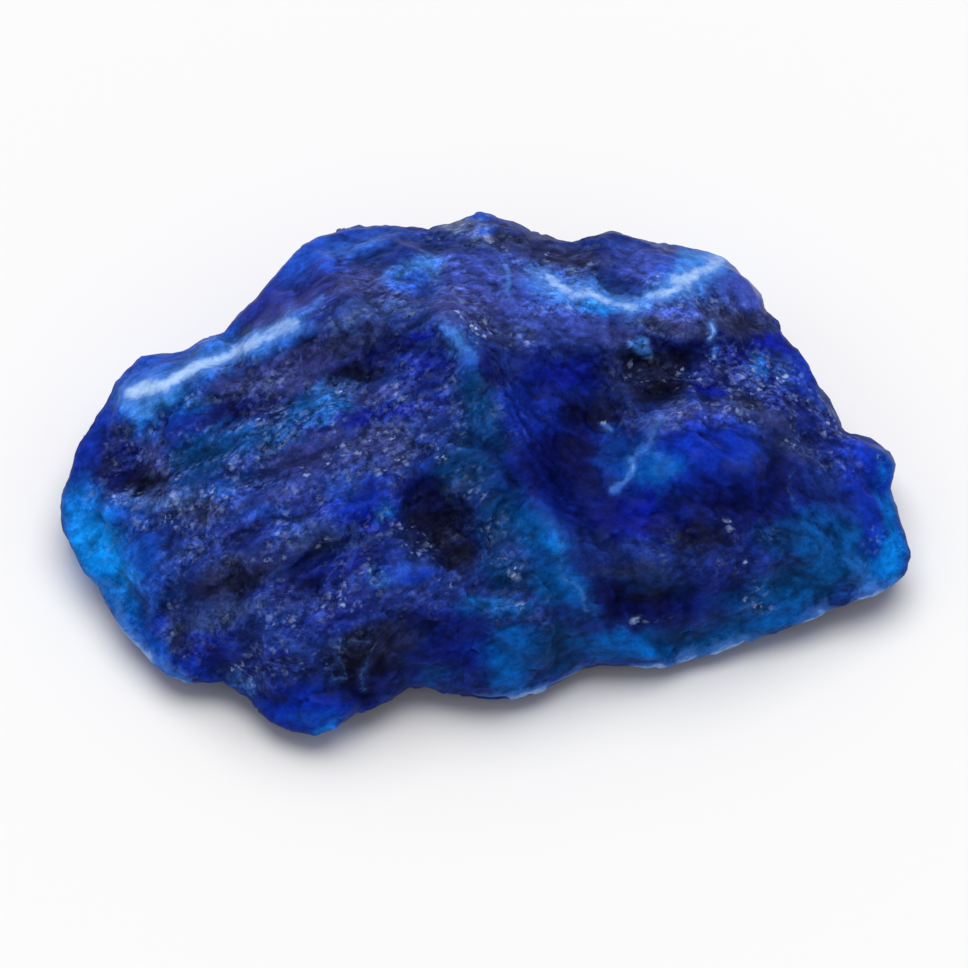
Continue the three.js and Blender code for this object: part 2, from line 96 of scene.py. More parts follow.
# The upper face's height over the rim's plane at listed points: along, up, height.
RELIEF = [
    # pale crest, what lies behind it, and what lies under it
    (-11.9, 2.8, 1.8), (-10.7, 3.3, 2.2), (-9.3, 4.0, 2.6), (-7.7, 4.7, 3.0), (-6.0, 5.3, 3.3),
    (-4.4, 5.6, 3.6), (-2.8, 5.7, 3.9),
    (-9.9, 4.1, 1.3), (-7.0, 6.0, 1.6), (-5.1, 7.0, 2.0), (-2.8, 7.3, 2.3), (-0.5, 7.4, 2.4),
    (-0.6, 8.4, 1.1),
    (-11.0, 2.0, 1.4), (-9.3, 2.7, 1.8), (-7.5, 3.3, 2.2), (-5.5, 3.9, 2.8), (-3.4, 4.2, 3.2),
    (-8.2, 2.5, 1.9), (-4.6, 3.0, 3.0),
    # layered block, with the dark pit at its left
    (-7.7, 1.5, 2.8), (-5.1, 2.6, 3.5), (-3.1, 2.9, 3.8), (-6.1, 1.1, 3.3), (-4.4, 1.4, 3.7),
    (-4.4, -0.9, 3.7), (-6.4, -0.9, 3.3), (-8.4, -0.2, 2.8), (-10.3, -0.4, 2.1), (-12.1, -0.5, 1.4),
    (-11.0, -2.5, 1.7), (-9.3, -2.5, 2.2), (-12.6, -2.5, 0.9), (-7.4, -2.2, 2.8), (-11.9, -3.6, 0.9),
    (-11.9, 0.9, 0.7), (-11.4, 0.2, 0.9), (-12.6, 1.6, 0.9), (-10.6, 1.0, 1.6),
    # groove, lower left ridge, lump and glassy bulge
    (-5.7, -2.9, 2.7), (-8.0, -3.5, 1.9), (-9.7, -4.0, 1.3),
    (-10.9, -5.1, 1.0), (-9.2, -4.4, 1.9), (-7.2, -3.8, 2.8), (-4.5, -3.3, 3.5), (-2.8, -2.7, 3.8),
    (-1.8, -2.6, 3.5),
    (-6.1, -5.0, 3.1), (-8.0, -5.5, 2.0), (-4.4, -5.1, 2.9), (-3.5, -6.1, 1.6), (-9.3, -5.8, 1.1),
    (-7.4, -6.5, 1.6), (-5.9, -6.5, 1.6), (-5.9, -7.3, 1.5), (-5.2, -7.3, 1.2),
    # spine down the middle, what falls away on both sides, and the central pit
    (-1.3, 5.2, 4.4), (-0.3, 3.8, 4.4), (0.4, 2.3, 4.3), (0.9, 0.9, 4.1), (1.7, -0.5, 3.9),
    (2.4, -1.7, 3.7), (3.0, -3.2, 2.9), (3.6, -4.4, 1.9),
    (1.4, 4.4, 3.4), (2.0, 2.8, 2.9), (2.7, 1.3, 2.6), (3.4, -0.2, 2.4), (4.0, -1.5, 2.5), (4.5, 1.4, 2.2),
    (4.1, 2.8, 2.1),
    (-1.6, 3.6, 3.9), (-1.8, 1.1, 3.7), (-3.1, 0.1, 3.7), (-0.1, -0.5, 3.7), (0.5, -2.6, 3.4),
    (-0.5, -3.6, 3.0), (-1.5, -1.3, 2.6), (-2.0, -0.5, 2.9), (-1.0, -2.2, 2.7),
    # top, top right slab, and the hollow under the slab
    (1.2, 6.4, 3.1), (2.5, 5.5, 3.3), (3.8, 5.0, 3.0), (2.4, 7.1, 1.9),
    (3.8, 7.2, 1.6), (5.8, 6.6, 2.0), (7.8, 6.2, 1.6), (4.8, 4.9, 2.8), (6.4, 5.0, 2.7), (8.1, 5.2, 2.2),
    (9.5, 5.0, 1.3),
    (5.1, 3.8, 1.4), (6.6, 3.9, 1.3), (8.3, 4.1, 1.2), (9.8, 4.0, 0.9), (5.6, 3.0, 1.7), (8.6, 3.2, 1.7),
    (10.3, 3.0, 1.0),
    # right boss, right end, shelf, the face under it, and the lower middle
    (5.6, 1.9, 2.6), (6.8, 2.2, 2.7), (8.0, 2.3, 2.6), (9.7, 2.0, 2.2), (11.5, 1.4, 1.6), (13.0, 0.6, 0.9),
    (7.1, 0.9, 3.4), (5.8, 0.5, 3.1), (8.4, 0.5, 3.1),
    (10.1, -0.2, 2.3), (11.7, -0.5, 1.9), (13.0, -1.5, 1.2), (12.0, -2.7, 1.3), (10.4, -2.2, 2.1),
    (3.9, -2.6, 2.7), (5.5, -2.6, 3.0), (7.4, -2.5, 3.0), (9.1, -2.6, 2.4), (5.5, -1.2, 2.6),
    (7.1, -1.2, 2.7), (8.4, -1.4, 2.6),
    (4.5, -4.1, 1.5), (6.4, -4.0, 1.6), (8.4, -3.7, 1.5), (10.2, -3.4, 1.3),
    (-0.1, -5.6, 1.7), (-1.8, -5.1, 2.0), (1.5, -5.1, 2.0), (2.5, -4.2, 2.5), (-1.4, -4.0, 2.9),
    (0.9, -3.8, 2.8),
]

# The underside, as broad broken faces: depth at the middle, fall along, fall up.
UNDER_FACES = [(6.0, 0.0, 0.3), (6.9, 0.16, 0.3), (6.6, -0.13, 0.24), (8.6, 0.1, -0.15), (6.0, 0.1, 0.45)]


def mix(a, b, t):
    """From a, where t is 0, to b, where t is 1."""
    return a + (b - a) * t


def smooth(t):
    """The S-curve 3t^2 - 2t^3, with t held between 0 and 1."""
    t = np.clip(t, 0, 1)
    return t * t * (3 - 2 * t)


def scatter(i, j, k):
    """A number from 0 to 1 for each whole-numbered place: what is left of a large multiple of a sine."""
    n = np.sin(i * 127.1 + j * 311.7 + k * 74.7) * 43758.5453
    return n - np.floor(n)


def lumps(x, y, z):
    """Smooth random lumps from -1 to 1: the eight corners of each unit cell, blended by S-curves."""
    i, j, k = np.floor(x), np.floor(y), np.floor(z)
    a, b, c = smooth(x - i), smooth(y - j), smooth(z - k)

    def row(dj, dk):
        """The blend of the two corners of one edge that runs along x."""
        return mix(scatter(i, j + dj, k + dk), scatter(i + 1, j + dj, k + dk), a)

    return 2 * mix(mix(row(0, 0), row(1, 0), b), mix(row(0, 1), row(1, 1), b), c) - 1


def broken_faces(x, y, z, crispness=2):
    """Flat faces from -1 to 1. A point belongs to the nearest scattered cell middle, takes the height of
    that cell's tilted plane, and blends with the second nearest at their border. The steps of 31, 57 and
    113 only pick other random numbers for the same cell."""
    near = np.floor(x), np.floor(y), np.floor(z)
    first_away = np.full(np.shape(x), 9.0)
    second_away = first_away.copy()
    first_face = np.zeros(np.shape(x))
    second_face = first_face.copy()
    for n in range(27):
        i, j, k = near[0] + n % 3 - 1, near[1] + n // 3 % 3 - 1, near[2] + n // 9 - 1
        gap = [x - i - scatter(i, j, k), y - j - scatter(i, j, k + 57), z - k - scatter(i, j, k + 113)]
        tilt = [scatter(i + 31, j, k + step) - 0.5 for step in (0, 57, 113)]
        away = np.sqrt(gap[0] ** 2 + gap[1] ** 2 + gap[2] ** 2)
        face = 2 * (gap[0] * tilt[0] + gap[1] * tilt[1] + gap[2] * tilt[2])
        face += 0.6 * (scatter(i, j + 31, k) - 0.5)
        nearer = away < first_away
        runner_up = ~nearer & (away < second_away)
        second_away = np.where(nearer, first_away, np.where(runner_up, away, second_away))
        second_face = np.where(nearer, first_face, np.where(runner_up, face, second_face))
        first_away = np.where(nearer, away, first_away)
        first_face = np.where(nearer, face, first_face)
    own = smooth(0.5 + (second_away - first_away) * crispness)
    return mix(second_face, first_face, own)


def to_world(along, up, out):
    """The leaning frame's point, turned by the lean about X."""
    c, s = math.cos(LEAN), math.sin(LEAN)
    return np.stack([along, up * c - out * s, up * s + out * c], axis=-1)


def to_leaning(place):
    """The world's point, turned back by the lean about X."""
    c, s = math.cos(LEAN), math.sin(LEAN)
    return place[..., 0], place[..., 1] * c + place[..., 2] * s, place[..., 2] * c - place[..., 1] * s


def out_at_height(up, height):
    """How far out of the leaning plane a point of a given height lies."""
    return (height - up * math.sin(LEAN)) / math.cos(LEAN)


def outline_reach(angle):
    """The outline's distance from the middle, read between the two outline points on both sides."""
    gap = OUTLINE - MIDDLE
    angles, reaches = np.arctan2(gap[:, 1], gap[:, 0]), np.hypot(gap[:, 0], gap[:, 1])
    return np.interp(angle, angles, reaches, period=2 * np.pi)


def climb(up):
    """0 at the rim's front, 1 at its back."""
    return (up - RIM_FRONT_UP) / (RIM_BACK_UP - RIM_FRONT_UP)


def dip(angle):
    """How far the rim sinks in a direction: a bell curve for each dip."""
    sunk = 0
    for middle, width, depth in RIM_DIPS:
        turn = (np.degrees(angle) - middle + 180) % 360 - 180
        sunk = sunk + depth * np.exp(-((turn / width) ** 2))
    return sunk


def rim_out(angle, up, share):
    """The rim climbs evenly from front to back, sinks in its dips, and waves a little with the angle.
    Inside the rim, dips and waves die away with the cube of the share of the reach."""
    wave = sum(part * np.sin(count * angle + start) for part, count, start in RIM_WAVES)
    rim = out_at_height(up, mix(RIM_FRONT_HEIGHT, RIM_BACK_HEIGHT, climb(up)))
    return rim + (RIM_WAVE * wave * smooth(climb(up)) - dip(angle)) * share**3


def relief(along, up):
    """A plane is fitted at every place to all the relief's heights and the rim's shoulder. Each weighs
    1 / (distance^2 + bluntness)^nearness, and calmness keeps the plane from tipping where few are near."""
    s, sa, su, sh, saa, sau, suu, sah, suh = np.zeros((9, len(along)))
    for a0, u0, h in RELIEF + [(a, u, RIM_SHOULDER) for a, u in OUTLINE]:
        a, u = a0 - along, u0 - up
        w = (a * a + u * u + BLUNTNESS) ** -NEARNESS
        s += w
        sa += w * a
        su += w * u
        sh += w * h
        saa += w * a * a
        sau += w * a * u
        suu += w * u * u
        sah += w * a * h
        suh += w * u * h
    calm = CALMNESS * s
    maa, mau, muu = saa - sa * sa / s + calm, sau - sa * su / s, suu - su * su / s + calm
    mah, muh = sah - sa * sh / s, suh - su * sh / s
    spread = maa * muu - mau * mau
    slope_along, slope_up = (mah * muu - muh * mau) / spread, (muh * maa - mah * mau) / spread
    return (sh - slope_along * sa - slope_up * su) / s


def ledges(along, up):
    """Small steps of the layered left side: a long tread and a short riser, on lines that slope and
    wander, dying away around the block as a bell curve."""
    wander = LEDGE_WANDER * lumps(along * LEDGE_BENDS, up * LEDGE_BENDS, 3 + 0 * up)
    across = up * math.cos(LEDGE_SLOPE) - along * math.sin(LEDGE_SLOPE) + wander
    turn = across / LEDGE_SPACING - np.floor(across / LEDGE_SPACING)
    tread = np.where(turn < LEDGE_TREAD, turn / LEDGE_TREAD, (1 - turn) / LEDGE_RISER)
    far_along = (along - LEDGES_MIDDLE[0]) / LEDGES_REACH[0]
    far_up = (up - LEDGES_MIDDLE[1]) / LEDGES_REACH[1]
    return LEDGE_DEPTH * np.exp(-(far_along**2) - far_up**2) * (2 * smooth(tread) - 1)


def upper_out(along, up, share, angle):
    """The rim, plus the relief, rounded off into the rim by sqrt(1 - share^8)."""
    rounding = np.sqrt(np.maximum(0, 1 - share**8))
    swell = np.maximum(LEAST_RELIEF, relief(along, up) + ledges(along, up))
    return rim_out(angle, up, share) + swell * rounding


def lower_out(along, up, share, angle):
    """The rim, less the belly or the nearest of the broad faces, rounded off into the rim by the cube
    root of 1 - share^3, and held over the floor and its pockets."""
    faces = np.min([deep + fall * along + rise * up for deep, fall, rise in UNDER_FACES], axis=0)
    depth = np.minimum(mix(BELLY_FRONT, BELLY_BACK, climb(up)), np.maximum(LEAST_BELLY, faces))
    rounding = np.maximum(0, 1 - share**3) ** (1 / 3)
    behind = up / math.cos(LEAN)
    pocket = lumps(along / POCKET_SIZE, behind / POCKET_SIZE, 40 + 0 * up) - POCKET_THRESHOLD
    floor_out = out_at_height(up, np.maximum(0, POCKET_DEPTH * pocket))
    return np.maximum(rim_out(angle, up, share) - depth * rounding, floor_out)


def box_grid():
    """The six faces of a box as grids of whole numbers, welded along their shared edges.
    Gives each point's place in the box, from -1 to 1, and the four-sided cells, facing outwards."""
    points, quads, start = [], [], 0
    for axis in range(3):
        p, q = (axis + 1) % 3, (axis + 2) % 3
        for far in (False, True):
            grid = np.zeros((CELLS[p] + 1, CELLS[q] + 1, 3), int)
            grid[..., p], grid[..., q] = np.mgrid[0 : CELLS[p] + 1, 0 : CELLS[q] + 1]
            grid[..., axis] = CELLS[axis] if far else 0
            number = start + np.arange(grid[..., 0].size).reshape(grid.shape[:2])
            corners = [number[:-1, :-1], number[1:, :-1], number[1:, 1:], number[:-1, 1:]]
            quads.append(np.stack(corners if far else corners[::-1], axis=-1).reshape(-1, 4))
            points.append(grid.reshape(-1, 3))
            start += number.size
    points, weld = np.unique(np.concatenate(points), axis=0, return_inverse=True)
    place = 2 * points / np.array(CELLS) - 1
    below = points[:, 2] / CELLS_BELOW - 1
    above = (points[:, 2] - CELLS_BELOW) / (CELLS[2] - CELLS_BELOW)
    place[:, 2] = np.where(points[:, 2] < CELLS_BELOW, below, above)
    return place, weld.reshape(-1)[np.concatenate(quads)]


def to_points(cell_values, quads, count):
    """Each point takes the sum of the values of the cells around it."""
    return np.stack([np.bincount(quads.ravel(), np.repeat(v, 4), count) for v in cell_values.T], axis=1)


def evened(values, quads, passes):
    """Each pass gives a point the mean of the cells around it, and a cell the mean of its corners."""
    cells_around = np.bincount(quads.ravel())[:, None]
    for step in range(passes):
        values = to_points(values[quads].mean(axis=1), quads, len(values)) / cells_around
    return values


def point_normals(place, quads, passes):
    """A cell's normal is the cross product of its diagonals. A point takes the sum of its cells' normals,
    evened out with those of its neighbours."""
    a, b, c, d = (place[quads[:, n]] for n in range(4))
    normal = evened(to_points(np.cross(c - a, d - b), quads, len(place)), quads, passes)
    return normal / np.linalg.norm(normal, axis=1, keepdims=True)


def hollows(place, quads, passes):
    """How far in mm a point lies in from its surroundings: above 0 in a hollow, below 0 on a crest."""
    gap = evened(place, quads, passes) - place
    return (gap * point_normals(place, quads, passes=2)).sum(axis=1)


def coarse_stone():
    """The box's faces, blown up to a ball with even cells, give each point a direction. Its angle from
    the out axis is the share of the reach to the outline, above the rim, and its sine is, below."""
    place, quads = box_grid()
    ray = np.tan(place * np.pi / 4)
    ray /= np.linalg.norm(ray, axis=1, keepdims=True)
    flat = np.hypot(ray[:, 0], ray[:, 1])
    angle = np.arctan2(ray[:, 1], ray[:, 0])
    on_top = ray[:, 2] >= 0
    share = np.minimum(1, np.where(on_top, np.arctan2(flat, ray[:, 2]) / (np.pi / 2), flat))
    along = MIDDLE[0] + share * outline_reach(angle) * np.cos(angle)
    up = MIDDLE[1] + share * outline_reach(angle) * np.sin(angle)
    out = np.where(on_top, upper_out(along, up, share, angle), lower_out(along, up, share, angle))
    place = to_world(along, up, out)
    return place, quads, on_top, share


def off_rim(place):
    """How far a point is from the rim: its height over or under it, and its share of the way inwards."""
    along, up, out = to_leaning(place)
    angle = np.arctan2(up - MIDDLE[1], along - MIDDLE[0])
    share = np.hypot(up - MIDDLE[1], along - MIDDLE[0]) / outline_reach(angle)
    return np.abs(out - rim_out(angle, up, share)) + (1 - share) * INWARD_FADE


def inland(place):
    """0 at the rim, 1 well above it, below it or inside it."""
    return smooth(off_rim(place) / RIM_FADE)


def off_floor(place):
    """0 on the floor, 1 well above it."""
    return smooth(place[:, 2] / FLOOR_FADE)


def moved_in(place, normal, cut):
    """Moves each point in by its cut, or out where the cut is below 0, and never below the floor."""
    moved = place - normal * cut[:, None]
    moved[:, 2] = np.maximum(0, moved[:, 2])
    return moved


place, quads, on_top, share = coarse_stone()
normal = point_normals(place, quads, passes=6)
x, y, z = place.T
lump = lumps(x / LUMP_SIZE + 5, y / LUMP_SIZE, z / LUMP_SIZE)
chip = broken_faces(x / CHIP_SIZE, y / CHIP_SIZE, z / CHIP_SIZE)
cut = -0.5 * (LUMP_DEPTH * lump + CHIP_DEPTH * chip)
place = moved_in(place, normal, cut * mix(RIM_CHIPPING, 1, inland(place)) * off_floor(place))

# Smaller breaks, drawn out along the stone's layers, which climb to the right on the left half and fall
# to the right on the right half. Each size has its length, its width, its depth and a seed.
LAYERS_LEFT, LAYERS_RIGHT = math.radians(28), math.radians(-22)
BREAKS = [(1.1, 0.6, 0.17, 11), (0.5, 0.28, 0.08, 23)]
RIM_BREAKING, GLASSY_CALM = 1.3, 0.75  # stronger at the rim, and mostly gone where the stone is glassy
BREAK_CRISPNESS = 3
GLASSY_FROM = 0.9  # under the rim, glassy places reach in to this share of its reach
SPINE_SLANT, SPINE_FOOT, SPINE_WIDTH = 0.45, 0.2, 2.4  # where the two halves meet


def along_layers(place, slope, long, wide):
    """The leaning frame turned by the layers' slope, counted in breaks of a given length and width."""
    along, up, out = to_leaning(place)
    c, s = math.cos(slope), math.sin(slope)
    return (along * c + up * s) / long, (up * c - along * s) / wide, out / wide


def right_half(place):
    """0 on the left half, 1 on the right, with a soft change beside the spine."""
    along, up, out = to_leaning(place)
    return smooth((along + SPINE_SLANT * up - SPINE_FOOT) / SPINE_WIDTH)


# Glassy places, where the stone broke in one smooth sweep: along, up, half length, half width, tilt in
# degrees, and how smooth.
GLASSY = [
    (-6.3, 6.7, 2.8, 1.0, 45, 0.9), (-3.9, 7.8, 2.0, 0.6, 5, 0.7), (-9.9, 3.7, 2.6, 0.7, 25, 0.7),
    (-6.6, 5.0, 1.4, 0.6, 20, 0.7), (-12.6, -2.4, 2.4, 1.3, -56, 0.75), (-11.3, -4.9, 1.6, 0.8, -50, 0.6),
    (-5.9, -7.3, 1.7, 1.0, 0, 1.0), (-2.5, -2.9, 1.3, 0.7, 0, 0.8), (-4.0, -0.5, 1.3, 0.7, 5, 0.5),
    (7.0, 0.7, 2.3, 1.0, 5, 0.85), (5.2, 0.2, 1.2, 1.4, 0, 0.8), (4.8, -1.0, 1.8, 0.8, 10, 0.5),
    (2.0, -1.6, 1.6, 0.9, -60, 0.7), (2.6, -3.2, 1.4, 0.5, -55, 0.6), (0.9, -5.6, 1.3, 1.2, 0, 0.8),
    (-1.2, -5.6, 2.0, 0.9, 5, 0.6), (6.2, -4.9, 4.0, 1.0, 8, 0.7), (13.1, -1.3, 2.6, 0.9, 95, 0.7),
    (5.9, 7.2, 2.4, 0.7, -14, 0.6), (8.4, 6.6, 1.2, 0.8, -45, 0.6), (1.3, 3.4, 1.2, 1.0, -50, 0.5),
    (-0.5, 4.2, 1.4, 0.5, -62, 0.7),
]
BLOT_CORE, BLOT_EDGE = 0.45, 0.9  # in shares of a blot's half width


def blot(along, up, spot):
    """1 in the core of a tilted ellipse, falling softly to 0 around its edge."""
    middle_along, middle_up, long, wide, tilt = spot[:5]
    c, s = math.cos(math.radians(tilt)), math.sin(math.radians(tilt))
    a, u = along - middle_along, up - middle_up
    return 1 - smooth((np.hypot((a * c + u * s) / long, (u * c - a * s) / wide) - BLOT_CORE) / BLOT_EDGE)


along, up, out = to_leaning(place)
glassy = np.zeros(len(place))
for spot in GLASSY:
    glassy = np.maximum(glassy, spot[5] * blot(along, up, spot))
glassy *= on_top | (share > GLASSY_FROM)
right = right_half(place)
normal = point_normals(place, quads, passes=3)
cut = np.zeros(len(place))
for long, wide, depth, seed in BREAKS:
    left_place, right_place = (along_layers(place, s, long, wide) for s in (LAYERS_LEFT, LAYERS_RIGHT))
    left_face = broken_faces(*(p + seed for p in left_place), BREAK_CRISPNESS)
    right_face = broken_faces(*(p + seed for p in right_place), BREAK_CRISPNESS)
    cut -= 0.5 * depth * mix(left_face, right_face, right)
cut = cut * (1 - GLASSY_CALM * glassy) * mix(RIM_BREAKING, 1, inland(place)) * off_floor(place)
place = moved_in(place, normal, cut)

# Its colours run from near-black in the thick of the stone to azure where it is thin, and the azure of the
# thin parts also stands for painted light shining through them. They are painted in blots, and a few blots
# hold painted shade, and two a painted sheen, as marked below. Each blot is: along, up, half length, half
# width, tilt in degrees, colour, and how much it covers. Later ones lie over earlier ones.
BLUES = {
    "black": "0C0E2C", "olive": "24284C", "ink": "0A1256", "night": "0A1A72", "navy": "182E7A",
    "dusk": "2A305C", "slate": "34487E", "mauve": "343A7C", "lilac": "3C4EAC", "violet": "283490",
    "indigo": "081890", "royal": "0C2CA4", "cobalt": "0A44AC", "bright": "2450C0", "sky": "4080D4",
    "azure": "0888EC", "ocean": "0458AE", "teal": "044E94", "deep teal": "043870", "silver": "8C90A8",
}

